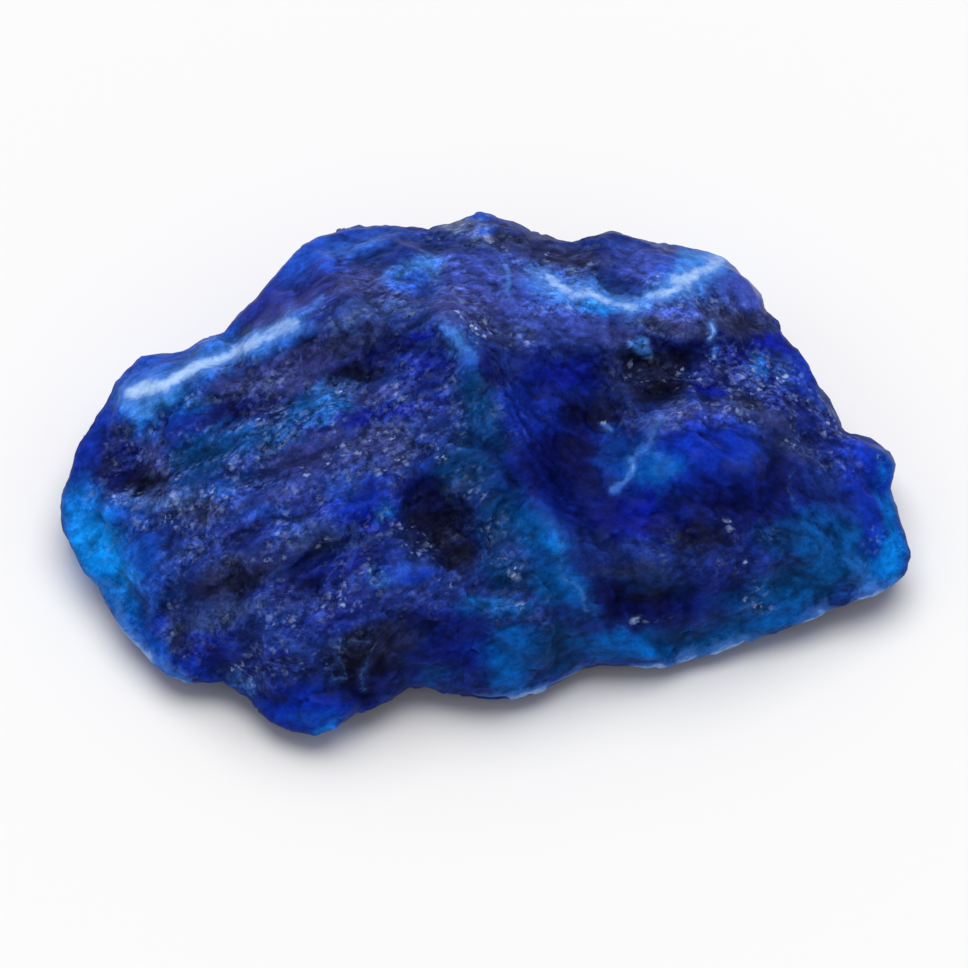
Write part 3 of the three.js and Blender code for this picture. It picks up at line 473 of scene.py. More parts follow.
BLOTS = {
    "slope behind the crest": [
        # the two bright blots here are partly a painted sheen of light on the slope
        (-6.2, 6.4, 2.8, 1.2, 48, "violet", 0.9), (-5.1, 7.8, 2.5, 0.65, 12, "bright", 0.8),
        (-6.2, 7.2, 1.2, 0.6, 52, "bright", 0.8), (-7.4, 5.6, 1.4, 0.6, 40, "violet", 0.8),
        (-3.6, 6.6, 1.6, 0.6, 0, "mauve", 0.85), (-3.3, 5.8, 1.8, 0.4, 0, "slate", 0.7),
        (-8.7, 5.0, 0.6, 0.35, 30, "cobalt", 0.7),
    ],
    "crest, and the bands under it": [
        (-11.0, 3.9, 1.7, 0.6, 8, "bright", 0.85), (-9.2, 4.6, 1.2, 0.4, 22, "cobalt", 0.85),
        (-8.0, 5.0, 0.35, 0.25, 0, "dusk", 0.9), (-12.3, 2.9, 0.6, 0.8, 55, "cobalt", 0.8),
        (-10.4, 2.4, 1.7, 0.7, 20, "ocean", 0.95), (-11.2, 2.6, 0.9, 0.4, 10, "sky", 0.8),
        (-8.7, 3.5, 1.2, 0.4, 25, "cobalt", 0.85), (-7.1, 4.4, 1.5, 0.3, 22, "cobalt", 0.85),
        (-7.6, 3.5, 2.0, 0.55, 20, "mauve", 0.85), (-6.9, 3.2, 1.5, 0.5, 18, "dusk", 0.55),
        (-5.7, 4.0, 1.5, 0.8, 15, "mauve", 0.9), (-4.0, 4.7, 1.4, 0.5, 8, "dusk", 0.8),
        (-4.6, 5.3, 1.2, 0.25, 10, "slate", 0.7), (-7.8, 2.4, 1.6, 0.45, 12, "ink", 0.9),
        (-9.9, 1.9, 1.1, 0.5, 0, "night", 0.7), (-8.6, 1.5, 1.5, 0.5, 10, "teal", 0.8),
        (-6.7, 1.6, 1.2, 0.5, 20, "deep teal", 0.8), (-5.4, 2.5, 1.2, 0.45, 15, "teal", 0.85),
        (-5.0, 3.1, 1.0, 0.35, 15, "sky", 0.5), (-3.6, 3.0, 1.2, 0.35, 8, "mauve", 0.8),
        (-3.3, 2.2, 1.7, 0.35, 5, "indigo", 0.9), (-5.2, 2.0, 0.9, 0.25, 10, "night", 0.8),
        # the ink and black under the crest are partly painted shade
        (-3.2, 4.4, 1.4, 0.4, 25, "ink", 0.95), (-4.2, 3.7, 0.8, 0.3, 12, "black", 0.9),
        (-1.8, 3.9, 1.1, 0.5, 10, "indigo", 0.7), (-2.1, 4.9, 0.7, 0.2, 12, "indigo", 0.7),
    ],
    "left end": [
        (-12.9, 1.5, 1.7, 0.7, 60, "royal", 0.7), (-12.2, 1.4, 0.9, 0.25, 72, "mauve", 0.7),
        (-11.7, 0.6, 0.9, 1.2, 70, "ink", 0.95), (-11.7, 1.0, 0.5, 0.5, 0, "indigo", 0.6),
        (-10.8, 0.7, 0.5, 0.9, 0, "mauve", 0.7), (-9.7, 0.9, 0.6, 0.4, 0, "teal", 0.8),
        (-9.0, 0.6, 1.0, 0.6, 20, "deep teal", 0.85), (-11.0, 0.0, 1.0, 0.3, 0, "black", 0.8),
        (-10.2, -0.5, 2.0, 0.35, 6, "slate", 0.85), (-8.5, -0.2, 1.1, 0.35, 28, "cobalt", 0.6),
        (-13.2, -0.5, 0.9, 0.8, 0, "ocean", 0.95), (-12.0, -1.1, 1.4, 0.45, -8, "cobalt", 0.9),
        (-12.8, -1.6, 1.2, 0.7, -70, "azure", 0.5), (-12.4, -2.4, 1.9, 1.2, -58, "azure", 1.0),
        (-12.0, -4.0, 1.5, 0.8, -50, "ocean", 1.0),
        (-10.8, -2.6, 1.3, 0.8, -60, "cobalt", 0.8), (-11.2, -5.2, 1.2, 0.7, -45, "cobalt", 0.9),
        (-10.6, -4.4, 0.7, 0.4, -50, "royal", 0.6),
    ],
    "layered block": [
        (-9.2, -1.6, 1.6, 0.9, 15, "navy", 0.8), (-9.0, -1.0, 0.9, 0.4, 10, "dusk", 0.7),
        (-7.1, -1.1, 1.0, 0.5, 20, "bright", 0.75), (-7.7, -1.7, 1.2, 0.4, 15, "violet", 0.75),
        (-6.4, -0.3, 1.3, 0.4, 20, "mauve", 0.6), (-5.7, 0.9, 1.4, 0.6, 15, "mauve", 0.75),
        (-3.3, 1.3, 1.6, 0.6, 8, "mauve", 0.85), (-5.4, -0.7, 1.0, 0.5, 10, "violet", 0.6),
        (-3.8, -0.6, 1.3, 0.8, 5, "royal", 0.95), (-4.5, 0.0, 0.7, 0.35, 10, "bright", 0.8),
        (-3.6, -1.2, 0.9, 0.4, 0, "indigo", 0.9), (-3.2, -1.0, 0.35, 0.3, 0, "ocean", 0.9),
        (-2.3, 0.5, 0.7, 0.3, 5, "bright", 0.85), (-8.3, -3.2, 1.5, 0.7, 22, "dusk", 0.95),
        (-8.0, -3.4, 0.6, 0.35, 20, "black", 0.6), (-6.3, -2.3, 1.6, 0.5, 20, "mauve", 0.45),
        (-4.6, -2.6, 1.9, 0.5, 12, "night", 0.8), (-6.4, -3.5, 2.1, 0.45, 20, "ink", 0.85),
        (-10.2, -3.0, 0.9, 0.6, 10, "navy", 0.7), (-5.6, -1.8, 0.9, 0.4, 15, "slate", 0.6),
    ],
    "lower left lump": [
        (-8.6, -4.3, 1.8, 0.35, 14, "slate", 0.7), (-10.1, -5.0, 0.45, 0.5, 0, "olive", 0.85),
        (-9.0, -5.5, 1.0, 0.7, 0, "indigo", 0.7), (-6.6, -5.2, 1.7, 0.9, 10, "navy", 0.85),
        (-7.3, -5.9, 1.2, 0.5, 0, "night", 0.7), (-3.9, -5.6, 1.4, 0.9, 25, "black", 0.95),
        (-5.0, -4.5, 1.4, 0.5, 15, "night", 0.7), (-2.6, -4.9, 1.1, 0.6, 25, "dusk", 0.7),
        (-7.9, -6.4, 0.35, 0.55, 30, "sky", 0.6), (-9.6, -6.1, 1.0, 0.35, -15, "royal", 0.7),
        (-3.6, -6.8, 1.2, 0.5, 20, "ink", 0.85), (-5.8, -7.3, 1.5, 0.85, 0, "royal", 1.0),
        (-5.5, -7.6, 1.1, 0.35, 0, "cobalt", 0.8), (-5.1, -8.0, 0.6, 0.22, 25, "azure", 0.7),
        (-6.6, -6.6, 0.9, 0.25, 0, "night", 0.7),
    ],
    "central ridge": [
        (-2.6, -3.0, 1.0, 0.5, -5, "bright", 0.9), (-2.3, -3.1, 0.7, 0.3, -5, "royal", 0.7),
        (-3.5, -2.9, 0.4, 0.35, 0, "sky", 0.6), (-4.7, -3.9, 1.1, 0.5, 20, "violet", 0.6),
        (-1.4, -4.4, 1.4, 0.5, 0, "night", 0.85), (-2.6, -3.9, 1.2, 0.3, 5, "violet", 0.5),
    ],
    "central pit": [
        (-0.7, 0.6, 1.4, 1.0, 60, "deep teal", 0.85), (-1.6, 1.6, 1.0, 0.7, 0, "navy", 0.7),
        # the black of the pit is partly painted shade
        (0.5, -1.0, 1.2, 0.8, 80, "deep teal", 0.9), (-1.6, -1.1, 1.3, 1.2, 80, "black", 0.88),
        (-2.1, -0.2, 0.7, 0.8, 0, "ink", 0.8), (-0.9, -2.3, 0.9, 0.6, 0, "black", 0.9),
        (-0.9, 0.0, 0.6, 0.3, 0, "slate", 0.7), (-1.9, 2.9, 1.0, 0.6, -30, "night", 0.7),
    ],
    "spine": [
        (-0.9, 4.9, 0.9, 0.5, -55, "sky", 0.7), (-0.6, 4.2, 0.8, 0.45, -60, "sky", 0.6),
        (-0.4, 3.5, 0.7, 0.45, -65, "bright", 0.7), (0.0, 2.5, 1.2, 0.8, -65, "deep teal", 0.9),
        (0.6, 0.8, 1.5, 0.7, -68, "teal", 0.4), (0.3, 1.6, 0.7, 0.4, -68, "deep teal", 0.7),
        (1.8, -1.7, 1.6, 0.9, -60, "ocean", 0.65), (1.5, -1.4, 0.7, 0.5, -60, "teal", 0.8),
        (2.3, -1.9, 0.4, 0.3, -60, "azure", 0.5), (2.8, -3.4, 1.3, 0.5, -48, "ocean", 0.9),
        (0.7, -2.9, 0.9, 0.7, 0, "deep teal", 0.85), (2.0, -3.3, 0.7, 0.5, -50, "teal", 0.8),
    ],
    "lower middle": [
        (0.4, -4.0, 1.4, 0.4, 0, "teal", 0.85), (-0.9, -5.6, 1.5, 0.9, 5, "night", 0.85),
        (-0.2, -5.2, 0.8, 0.6, 0, "royal", 0.6), (0.9, -5.7, 1.0, 1.2, 0, "ocean", 0.9),
        (2.4, -5.3, 1.0, 0.9, 15, "deep teal", 0.95), (-1.5, -6.3, 0.8, 0.3, 0, "teal", 0.6),
    ],
    "right of the spine": [
        (2.4, 1.3, 2.0, 2.2, -60, "night", 0.9), (2.5, 0.7, 1.5, 1.2, 0, "ink", 0.9),
        (1.4, 2.4, 0.9, 0.9, 0, "royal", 0.7), (3.0, 3.6, 1.7, 0.6, 0, "indigo", 0.85),
        (0.4, 3.7, 0.9, 0.4, -80, "ink", 0.8), (3.6, 2.3, 1.1, 0.5, 0, "black", 0.75),
        (2.6, -0.6, 1.0, 0.6, -40, "night", 0.8),
    ],
    "top": [
        (0.3, 6.5, 2.6, 1.4, 0, "lilac", 0.9), (-0.6, 5.9, 1.2, 0.7, 0, "mauve", 0.7),
        (0.3, 8.2, 2.6, 0.4, -8, "dusk", 0.9), (-1.1, 8.45, 0.6, 0.14, -15, "silver", 0.7),
        (-0.1, 8.3, 0.6, 0.12, -15, "silver", 0.7), (-0.1, 8.6, 0.6, 0.3, 0, "bright", 0.8),
        (3.0, 7.5, 1.5, 0.5, -12, "dusk", 0.9), (-2.3, 7.1, 0.9, 0.45, 15, "sky", 0.85),
        (-2.3, 6.7, 0.7, 0.4, 0, "bright", 0.8), (2.0, 6.3, 0.9, 0.5, 0, "bright", 0.6),
        (2.9, 5.2, 1.7, 0.6, 0, "lilac", 0.8), (2.9, 6.3, 1.3, 0.4, -15, "bright", 0.7),
        (3.9, 5.9, 0.8, 0.4, 0, "azure", 0.8),
        (0.6, 5.2, 1.1, 0.5, -15, "dusk", 0.65), (1.7, 4.3, 0.9, 0.4, 0, "night", 0.7),
    ],
    "top right slab": [
        (5.6, 7.2, 1.9, 0.65, -12, "lilac", 0.9), (6.3, 7.2, 0.7, 0.4, 0, "royal", 0.6),
        (6.9, 7.4, 0.5, 0.35, 10, "azure", 0.7), (8.5, 6.4, 1.2, 0.75, -50, "lilac", 0.9),
        (5.8, 5.7, 1.6, 0.45, 0, "lilac", 0.75), (6.6, 5.2, 1.7, 0.4, 0, "dusk", 0.9),
        (8.4, 5.4, 1.5, 0.5, -15, "dusk", 0.9), (4.4, 6.8, 0.7, 0.35, -10, "navy", 0.8),
    ],
    "hollow under the slab": [
        (5.4, 3.7, 1.8, 1.1, -5, "olive", 0.75), (5.8, 3.6, 0.9, 0.7, 0, "black", 0.7),
        (5.7, 3.0, 0.8, 0.4, 0, "black", 0.9),
        # the ink band along the slab's ledge is a painted shadow
        (8.4, 3.4, 1.8, 1.0, -15, "night", 0.9), (7.5, 4.7, 2.3, 0.35, 5, "ink", 0.95),
        (9.6, 4.6, 1.1, 0.3, 5, "indigo", 0.9), (8.2, 4.3, 0.9, 0.35, 5, "indigo", 0.7),
        (7.3, 3.1, 0.5, 0.22, 0, "indigo", 0.95), (9.0, 3.8, 0.3, 0.5, 0, "ocean", 0.8),
        (10.6, 3.7, 0.6, 0.7, 0, "royal", 0.7), (8.2, 3.6, 1.0, 0.3, 0, "mauve", 0.6),
        (9.9, 2.6, 1.3, 0.6, -20, "night", 0.85), (9.0, 2.3, 1.4, 0.45, -15, "dusk", 0.85),
        (11.3, 1.5, 1.2, 0.6, -30, "night", 0.8), (4.2, 4.7, 1.0, 0.4, 0, "mauve", 0.6),
        (6.3, 4.0, 0.6, 0.4, 0, "dusk", 0.8), (5.2, 4.3, 0.3, 0.26, 0, "sky", 1.0),
    ],
    "right boss": [
        (6.6, 2.1, 1.4, 0.45, 5, "mauve", 0.85), (7.2, 1.2, 2.1, 1.0, 8, "royal", 0.95),
        (5.6, 0.4, 1.1, 0.8, 0, "ocean", 0.85), (4.5, 0.9, 1.0, 0.9, 0, "cobalt", 0.9),
        (4.8, -0.9, 1.4, 0.8, 0, "indigo", 0.9), (7.0, 0.0, 1.2, 0.4, 10, "royal", 0.7),
        (6.3, -1.3, 1.4, 0.5, 15, "night", 0.75),
    ],
    "right middle and end": [
        (8.9, -0.9, 2.6, 1.4, -12, "night", 0.85), (8.4, -0.9, 1.8, 0.7, -12, "ink", 0.8),
        (7.1, -1.9, 0.9, 0.7, 0, "black", 0.9), (9.9, 0.3, 0.9, 0.7, 0, "ink", 0.8),
        (10.2, 1.2, 1.2, 0.5, -20, "dusk", 0.6), (11.1, -1.8, 1.6, 1.0, 0, "teal", 0.85),
        (9.6, -1.7, 1.0, 0.6, 0, "deep teal", 0.7), (12.5, 0.3, 0.8, 1.4, 0, "royal", 0.9),
        (13.4, -0.8, 2.2, 0.4, 95, "ocean", 0.95), (13.1, -2.6, 0.9, 0.9, 0, "ocean", 0.95),
        (13.3, -2.4, 0.5, 0.6, 0, "azure", 0.6), (12.2, -3.0, 0.9, 0.4, -45, "sky", 0.6),
        (12.7, -1.6, 0.4, 0.9, 0, "royal", 0.7),
    ],
    "shelf, and the face under it": [
        (5.8, -2.4, 2.4, 0.5, 0, "navy", 0.7), (4.9, -2.9, 1.4, 0.35, 0, "dusk", 0.85),
        (5.0, -3.8, 1.7, 0.7, 0, "ink", 0.95), (5.3, -3.5, 0.9, 0.4, 0, "black", 0.85),
        (7.6, -3.4, 1.7, 0.8, 5, "night", 0.85), (8.9, -3.5, 1.8, 0.6, 10, "teal", 0.6),
        (10.7, -3.2, 1.8, 0.7, 15, "teal", 0.95), (5.6, -3.2, 1.6, 0.5, 0, "deep teal", 0.35),
        (9.0, -4.2, 1.8, 0.5, 14, "teal", 0.7), (4.8, -5.3, 1.9, 0.55, -2, "ocean", 0.95),
        (8.4, -4.9, 2.9, 0.5, 14, "teal", 0.95), (9.6, -4.5, 1.6, 0.35, 14, "ocean", 0.7),
        (6.2, -4.9, 0.9, 0.35, 0, "deep teal", 0.7),
    ],
}

# Veins: half width in mm, how dense, and the points they run through.
VEINS = [
    (0.44, 1.1, [(-11.6, 2.95), (-11.2, 3.1), (-10.6, 3.15)]),
    (0.34, 1.1, [(-10.6, 3.1), (-10.0, 3.5), (-9.3, 3.95), (-8.8, 4.2)]),
    (0.34, 1.0, [(-8.8, 4.2), (-8.3, 4.4), (-7.8, 4.55), (-7.4, 4.7)]),
    (0.34, 0.9, [(-7.6, 4.6), (-7.2, 4.8), (-6.5, 5.1), (-6.1, 5.3)]),
    (0.14, 0.5, [(-6.2, 5.3), (-5.7, 5.7), (-5.4, 6.1)]),
    (0.25, 0.35, [(-5.0, 7.75), (-4.2, 7.8), (-3.4, 7.9)]),
    (0.34, 0.65, [(1.6, 6.9), (2.1, 6.4)]),
    (0.34, 0.98, [(2.1, 6.7), (2.7, 6.4)]),
    (0.38, 0.86, [(2.9, 6.3), (3.5, 6.4)]),
    (0.24, 1.05, [(3.6, 6.3), (4.1, 6.1)]),
    (0.2, 0.75, [(4.0, 6.1), (4.6, 5.9)]),
    (0.34, 0.88, [(4.4, 6.0), (4.9, 5.8)]),
    (0.18, 0.7, [(4.9, 5.8), (5.4, 6.1)]),
    (0.3, 0.94, [(5.4, 6.2), (6.0, 6.3)]),
    (0.22, 1.05, [(5.9, 6.4), (6.4, 6.4)]),
    (0.5, 0.98, [(6.3, 6.7), (6.7, 6.6)]),
    (0.34, 1.05, [(6.6, 6.7), (7.1, 7.0)]),
    (0.44, 0.9, [(7.1, 7.1), (7.5, 7.3), (7.8, 7.5)]),
    (0.14, 0.6, [(0.65, 7.2), (0.7, 6.3)]),
    (0.16, 0.7, [(4.2, -0.2), (4.6, 0.0), (4.85, 0.4), (4.8, 0.7)]),
    (0.2, 0.45, [(4.8, 0.7), (5.0, 0.95), (5.3, 1.3), (5.5, 1.5), (5.55, 1.9), (5.9, 2.1)]),
    (0.12, 0.35, [(5.3, 1.15), (5.7, 0.95), (5.9, 0.95)]),
    (0.16, 0.3, [(2.5, -1.9), (2.45, -2.4), (2.6, -3.0)]),
    (0.12, 0.4, [(2.6, -3.0), (2.9, -3.3), (3.2, -3.7), (3.5, -4.2)]),
    (0.1, 0.3, [(10.25, 0.4), (10.05, -0.1), (10.15, -0.4), (10.3, -0.75)]),
    (0.08, 0.35, [(-3.75, -5.2), (-4.8, -5.2), (-4.8, -5.8), (-4.55, -6.3), (-5.0, -6.35), (-5.15, -6.05)]),
    (0.1, 0.35, [(-3.55, -5.35), (-3.75, -5.8), (-4.0, -6.1), (-3.9, -6.6)]),
    (0.16, 0.35, [(-12.1, -0.7), (-11.3, -0.6), (-10.6, -0.7), (-9.8, -0.4)]),
    (0.12, 0.3, [(-9.0, -0.5), (-8.3, 0.0), (-7.7, 0.3)]),
    (0.1, 0.3, [(-1.6, 8.5), (-0.7, 8.3), (0.3, 7.9)]),
    (0.1, 0.4, [(8.9, 4.2), (9.0, 3.7)]),
    (0.12, 0.9, [(7.35, 4.8), (7.5, 5.05), (7.45, 5.3)]),
    (0.1, 0.8, [(7.6, 4.5), (7.65, 4.15)]),
    (0.08, 0.6, [(3.8, 1.9), (4.0, 1.8), (4.1, 1.65)]),
    (0.1, 0.4, [(9.8, 4.0), (9.7, 3.7), (9.8, 3.4)]),
]

# Clusters of white sugary grains, which also stand for painted glints of light: along, up, half length, half
# width, tilt in degrees, and how dense.
SUGAR_AND_GLINTS = [
    (-12.0, -0.7, 0.3, 0.3, 0, 0.9), (-10.9, -0.6, 0.7, 0.2, 5, 0.7), (-10.9, -1.3, 0.35, 0.12, 70, 0.9),
    (-10.0, -1.1, 0.6, 0.5, 0, 0.5), (-10.3, -0.2, 0.35, 0.3, 0, 0.5), (-10.0, 0.4, 0.3, 0.3, 0, 0.6),
    (-8.6, -0.1, 0.9, 0.3, 30, 0.55), (-12.3, 1.3, 0.8, 0.3, 70, 0.5), (-7.2, 2.2, 0.3, 0.2, 0, 0.7),
    (-5.1, 1.7, 0.3, 0.25, 0, 0.8), (-4.6, 2.9, 0.2, 0.45, 10, 1.0), (-6.2, 1.0, 0.2, 0.2, 0, 0.7),
    (-5.1, 0.8, 0.2, 0.2, 0, 0.7), (-5.7, 0.4, 0.35, 0.2, 0, 0.9), (-3.1, 0.6, 0.5, 0.4, 0, 0.9),
    (-4.2, 1.3, 1.0, 0.5, 10, 0.45), (-5.2, -1.9, 0.6, 0.2, 0, 0.9), (-6.9, -2.4, 0.8, 0.5, 15, 0.5),
    (-3.6, -2.8, 0.4, 0.5, 0, 1.0), (-2.1, -2.1, 0.7, 0.35, 0, 0.8), (-2.6, -1.4, 0.3, 0.3, 0, 0.6),
    (-4.8, -3.9, 1.0, 0.5, 15, 0.7), (-6.3, -4.4, 1.3, 0.5, 15, 0.3), (-10.1, -5.6, 0.25, 0.2, 0, 1.0),
    (-7.9, -6.4, 0.35, 0.6, 30, 0.9), (-6.2, -5.8, 1.3, 0.5, 0, 0.2), (-1.3, 1.1, 0.3, 0.45, -20, 0.8),
    (-0.2, -0.4, 0.45, 0.25, 20, 0.9), (0.7, -2.6, 0.8, 0.4, -10, 0.95), (1.2, -4.1, 0.5, 0.3, 0, 0.6),
    (-1.3, -3.4, 0.2, 0.3, 0, 0.7), (-0.5, 5.2, 0.8, 0.45, -25, 1.0), (0.1, 5.0, 0.22, 0.22, 0, 1.0),
    (0.6, 7.7, 0.2, 0.2, 0, 0.9), (2.3, 7.6, 0.25, 0.3, 0, 0.8), (1.6, 4.7, 0.8, 0.15, 0, 0.8),
    (3.7, 7.3, 0.4, 0.2, 0, 0.8), (5.4, 6.9, 0.3, 0.3, 0, 0.8), (5.2, 4.3, 0.2, 0.2, 0, 1.0),
    (7.4, 5.1, 0.15, 0.4, -30, 1.0), (7.6, 4.3, 0.12, 0.35, 0, 1.0), (6.6, 3.5, 0.7, 0.4, 0, 0.6),
    (9.6, 3.4, 0.9, 0.7, 0, 0.45), (11.0, 2.4, 1.2, 0.4, -60, 0.5), (8.9, 2.3, 1.3, 0.4, -10, 0.45),
    (6.9, 2.4, 0.8, 0.25, 0, 0.6), (10.1, 1.3, 0.4, 0.25, 0, 0.6), (8.0, -2.6, 0.8, 0.12, 0, 0.7),
    (8.0, -1.4, 0.3, 0.15, 0, 0.7), (9.0, -3.7, 0.6, 0.6, 0, 0.6), (12.7, -1.9, 0.25, 0.4, 0, 0.6),
    (4.0, 1.8, 0.35, 0.2, -30, 0.8), (8.1, -5.1, 0.6, 0.15, 15, 0.6), (-0.2, 8.3, 1.4, 0.25, -12, 0.5),
    (4.6, 3.6, 0.8, 0.6, 0, 0.45), (5.3, -4.4, 0.9, 0.15, 5, 0.5), (13.0, 0.9, 0.15, 0.15, 0, 0.9),
]

# Where crumbs and their dust lie: along, up, half length, half width, tilt in degrees, and how thick.
DUSTY = [
    (-6.5, 0.6, 7.5, 3.6, 18, 0.9), (-6.5, -4.6, 5.5, 2.4, 12, 0.65), (-8.0, 4.0, 4.5, 1.3, 22, 0.8),
    (0.5, 6.6, 5.5, 2.0, 0, 0.8), (7.0, 6.0, 4.0, 1.2, -15, 0.7), (8.0, 3.6, 4.5, 1.5, -18, 1.0),
    (11.0, 1.6, 2.0, 0.9, -40, 0.8), (6.5, 2.4, 2.5, 0.6, 0, 0.8), (-0.5, -2.2, 2.2, 1.6, 0, 0.6),
    (7.5, -2.0, 3.0, 1.0, 0, 0.4), (1.5, -4.2, 1.5, 0.8, 0, 0.4),
]


def shade(code):
    """A hex colour as sRGB values from 0 to 1."""
    return np.array([int(code[n : n + 2], 16) for n in (0, 2, 4)]) / 255


def linear(colour):
    """sRGB values from 0 to 1, or a hex colour, as linear light."""
    colour = shade(colour) if isinstance(colour, str) else colour
    return np.where(colour <= 0.04045, colour / 12.92, ((colour + 0.055) / 1.055) ** 2.4)


def paint(colours, cover, code):
    """Lays a colour over what is there, by its cover from 0 to 1."""
    return mix(colours, shade(code), cover[:, None])


def line_distance(along, up, points):
    """Distance to the nearest stretch of a line through the points."""
    away = np.full(np.shape(along), 99.0)
    for (a0, u0), (a1, u1) in zip(points, points[1:]):
        long = (a1 - a0) ** 2 + (u1 - u0) ** 2
        t = np.clip(((along - a0) * (a1 - a0) + (up - u0) * (u1 - u0)) / long, 0, 1)
        away = np.minimum(away, np.hypot(along - a0 - t * (a1 - a0), up - u0 - t * (u1 - u0)))
    return away


along, up, out = to_leaning(place)
FRAYING = [(1.7, 0.3), (0.6, 0.2), (0.25, 0.12)]  # how long and how high the waves of a border are


def frayed(seed):
    """The leaning frame's along and up, moved about in waves of three sizes."""
    moved_along, moved_up = along.copy(), up.copy()
    for size, reach in FRAYING:
        moved_along += reach * lumps(along / size, up / size, out / size + seed)
        moved_up += reach * lumps(along / size, up / size, out / size + seed + 83)
    return moved_along, moved_up


HALO_COVER, HALO_START, HALO_EDGE = 0.5, 0.6, 1.6  # a vein's halo, in shares of its half width


def painted(seed):
    """All the blots and the halos of the veins, with borders that wander in their own way."""
    colours = np.tile(shade(BLUES["navy"]), (len(place), 1))
    moved_along, moved_up = frayed(seed)
    for spots in BLOTS.values():
        for spot in spots:
            colours = paint(colours, spot[6] * blot(moved_along, moved_up, spot), BLUES[spot[5]])
    for wide, density, points in VEINS:
        away = line_distance((along + moved_along) / 2, (up + moved_up) / 2, points) / wide
        halo = HALO_COVER * density * (1 - smooth((away - HALO_START) / HALO_EDGE))
        colours = paint(colours, halo, BLUES["sky"])
    return colours


FIRST_SEED, SECOND_SEED = 7, 31
first_colours, second_colours = painted(FIRST_SEED), painted(SECOND_SEED)

VEIN_EDGE = 1.5  # a vein fades out at this many times its half width
veins_and_edge_glow, sugar_and_glints, dusty = np.zeros((3, len(place)))
moved_along, moved_up = frayed(FIRST_SEED)
half_frayed = [(along + moved_along) / 2, (up + moved_up) / 2]
for wide, density, points in VEINS:
    veins_and_edge_glow = np.maximum(veins_and_edge_glow, density * (1 - smooth(line_distance(*half_frayed, points) / wide / VEIN_EDGE)))
for spot in SUGAR_AND_GLINTS:
    sugar_and_glints = np.maximum(sugar_and_glints, spot[5] * blot(*half_frayed, spot))
for spot in DUSTY:
    dusty = np.maximum(dusty, spot[5] * blot(*half_frayed, spot))

# The lower edge is so thin that light shines through it: that glow is painted as a pale, broken line along
# the rim, laid in with the veins. It starts below a line and leaves out the glassy bulge at the lower left.
EDGE_UP, EDGE_START = -2.6, 0.8
BULGE_ALONG, BULGE_HALF, BULGE_EDGE = -5, 3, 1.5
EDGE_WIDTH_ABOVE, EDGE_WIDTH_BELOW = 0.8, 0.5
EDGE_COVER, EDGE_COVER_BELOW = 0.95, 0.35
PATCH_SIZE, PATCH_MEAN, PATCH_SWING = 0.9, 0.7, 0.9
lower_edge_glow = smooth((EDGE_UP - up) / EDGE_START)
lower_edge_glow *= smooth((abs(along - BULGE_ALONG) - BULGE_HALF) / BULGE_EDGE)
edge_above = 1 - smooth(off_rim(place) / EDGE_WIDTH_ABOVE)
edge_below = EDGE_COVER_BELOW * (1 - smooth(off_rim(place) / EDGE_WIDTH_BELOW))
lower_edge_glow *= np.where(on_top, edge_above, edge_below)
patches = smooth(PATCH_MEAN + PATCH_SWING * lumps(along / PATCH_SIZE, up / PATCH_SIZE, out + 60))
veins_and_edge_glow = np.maximum(veins_and_edge_glow, EDGE_COVER * lower_edge_glow * patches)

# The underside and the back have the same blues in broad clouds: size, colour and a seed. Each cloud is
# a lump with smaller lumps on it.
CLOUDS = [(2.6, "royal", 3), (1.9, "night", 17), (2.2, "cobalt", 29), (1.3, "mauve", 41), (0.9, "bright", 53)]
CLOUD_DENSITY, CLOUD_CURLS, CURL_SHARE = 1.6, 2.7, 0.4
UNDER_EDGE, UNDER_DUST = 0.3, 0.5
beneath = np.tile(shade(BLUES["navy"]), (len(place), 1))
for size, colour, seed in CLOUDS:
    cloud = lumps(*(p / size + seed for p in place.T))
    cloud = cloud + CURL_SHARE * lumps(*(p / size * CLOUD_CURLS + seed for p in place.T))
    beneath = paint(beneath, smooth(cloud * CLOUD_DENSITY), BLUES[colour])
under = smooth((1 - share) / UNDER_EDGE) * ~on_top
first_colours = mix(first_colours, beneath, under[:, None])
second_colours = mix(second_colours, beneath, under[:, None])
veins_and_edge_glow *= 1 - under

# Dust is thin on glassy and on dark places. Deep, narrow places get painted shade, and crests get painted
# light.
DARK_DUST, DARK_BLUE, DARK_BLUE_RANGE = 0.25, 0.3, 0.18
HOLLOWS = [(5, 0.05), (40, 0.4)]  # passes of evening out, and how deep a full hollow is then
grainy = 1 - glassy
lit = smooth((first_colours[:, 2] - DARK_BLUE) / DARK_BLUE_RANGE)
dusty = mix(dusty, UNDER_DUST, under) * grainy * mix(DARK_DUST, 1, lit)
deepness = sum(hollows(place, quads, passes) / full for passes, full in HOLLOWS)
hollow_shade_crest_light = smooth(0.5 + deepness * inland(place))

# The finished mesh: its middle is put over the origin, and the painted fields lie in its attributes.
middle = (place.max(axis=0) + place.min(axis=0)) / 2
to_middle = np.array([-middle[0], -middle[1], 0])
place = (place + to_middle) * MM

mesh = bpy.data.meshes.new("hauyne_stone_surface")
mesh.from_pydata(place.tolist(), [], quads.tolist())
mesh.shade_smooth()
fields = {"grainy": grainy, "right_half": right, "hollow_shade_crest_light": hollow_shade_crest_light, "veins_and_edge_glow": veins_and_edge_glow, "sugar_and_glints": sugar_and_glints, "dusty": dusty}
for name, values in fields.items():
    mesh.attributes.new(name, "FLOAT", "POINT").data.foreach_set("value", values.astype(np.float32))
blues = {"first_blues": first_colours, "second_blues": second_colours}
for name, colours in blues.items():
    rgba = np.ones((len(place), 4), np.float32)
    rgba[:, :3] = linear(colours)
    mesh.attributes.new(name, "FLOAT_COLOR", "POINT").data.foreach_set("color", rgba.ravel())
stone = bpy.data.objects.new("hauyne_rough_stone", mesh)
bpy.context.scene.collection.objects.link(stone)


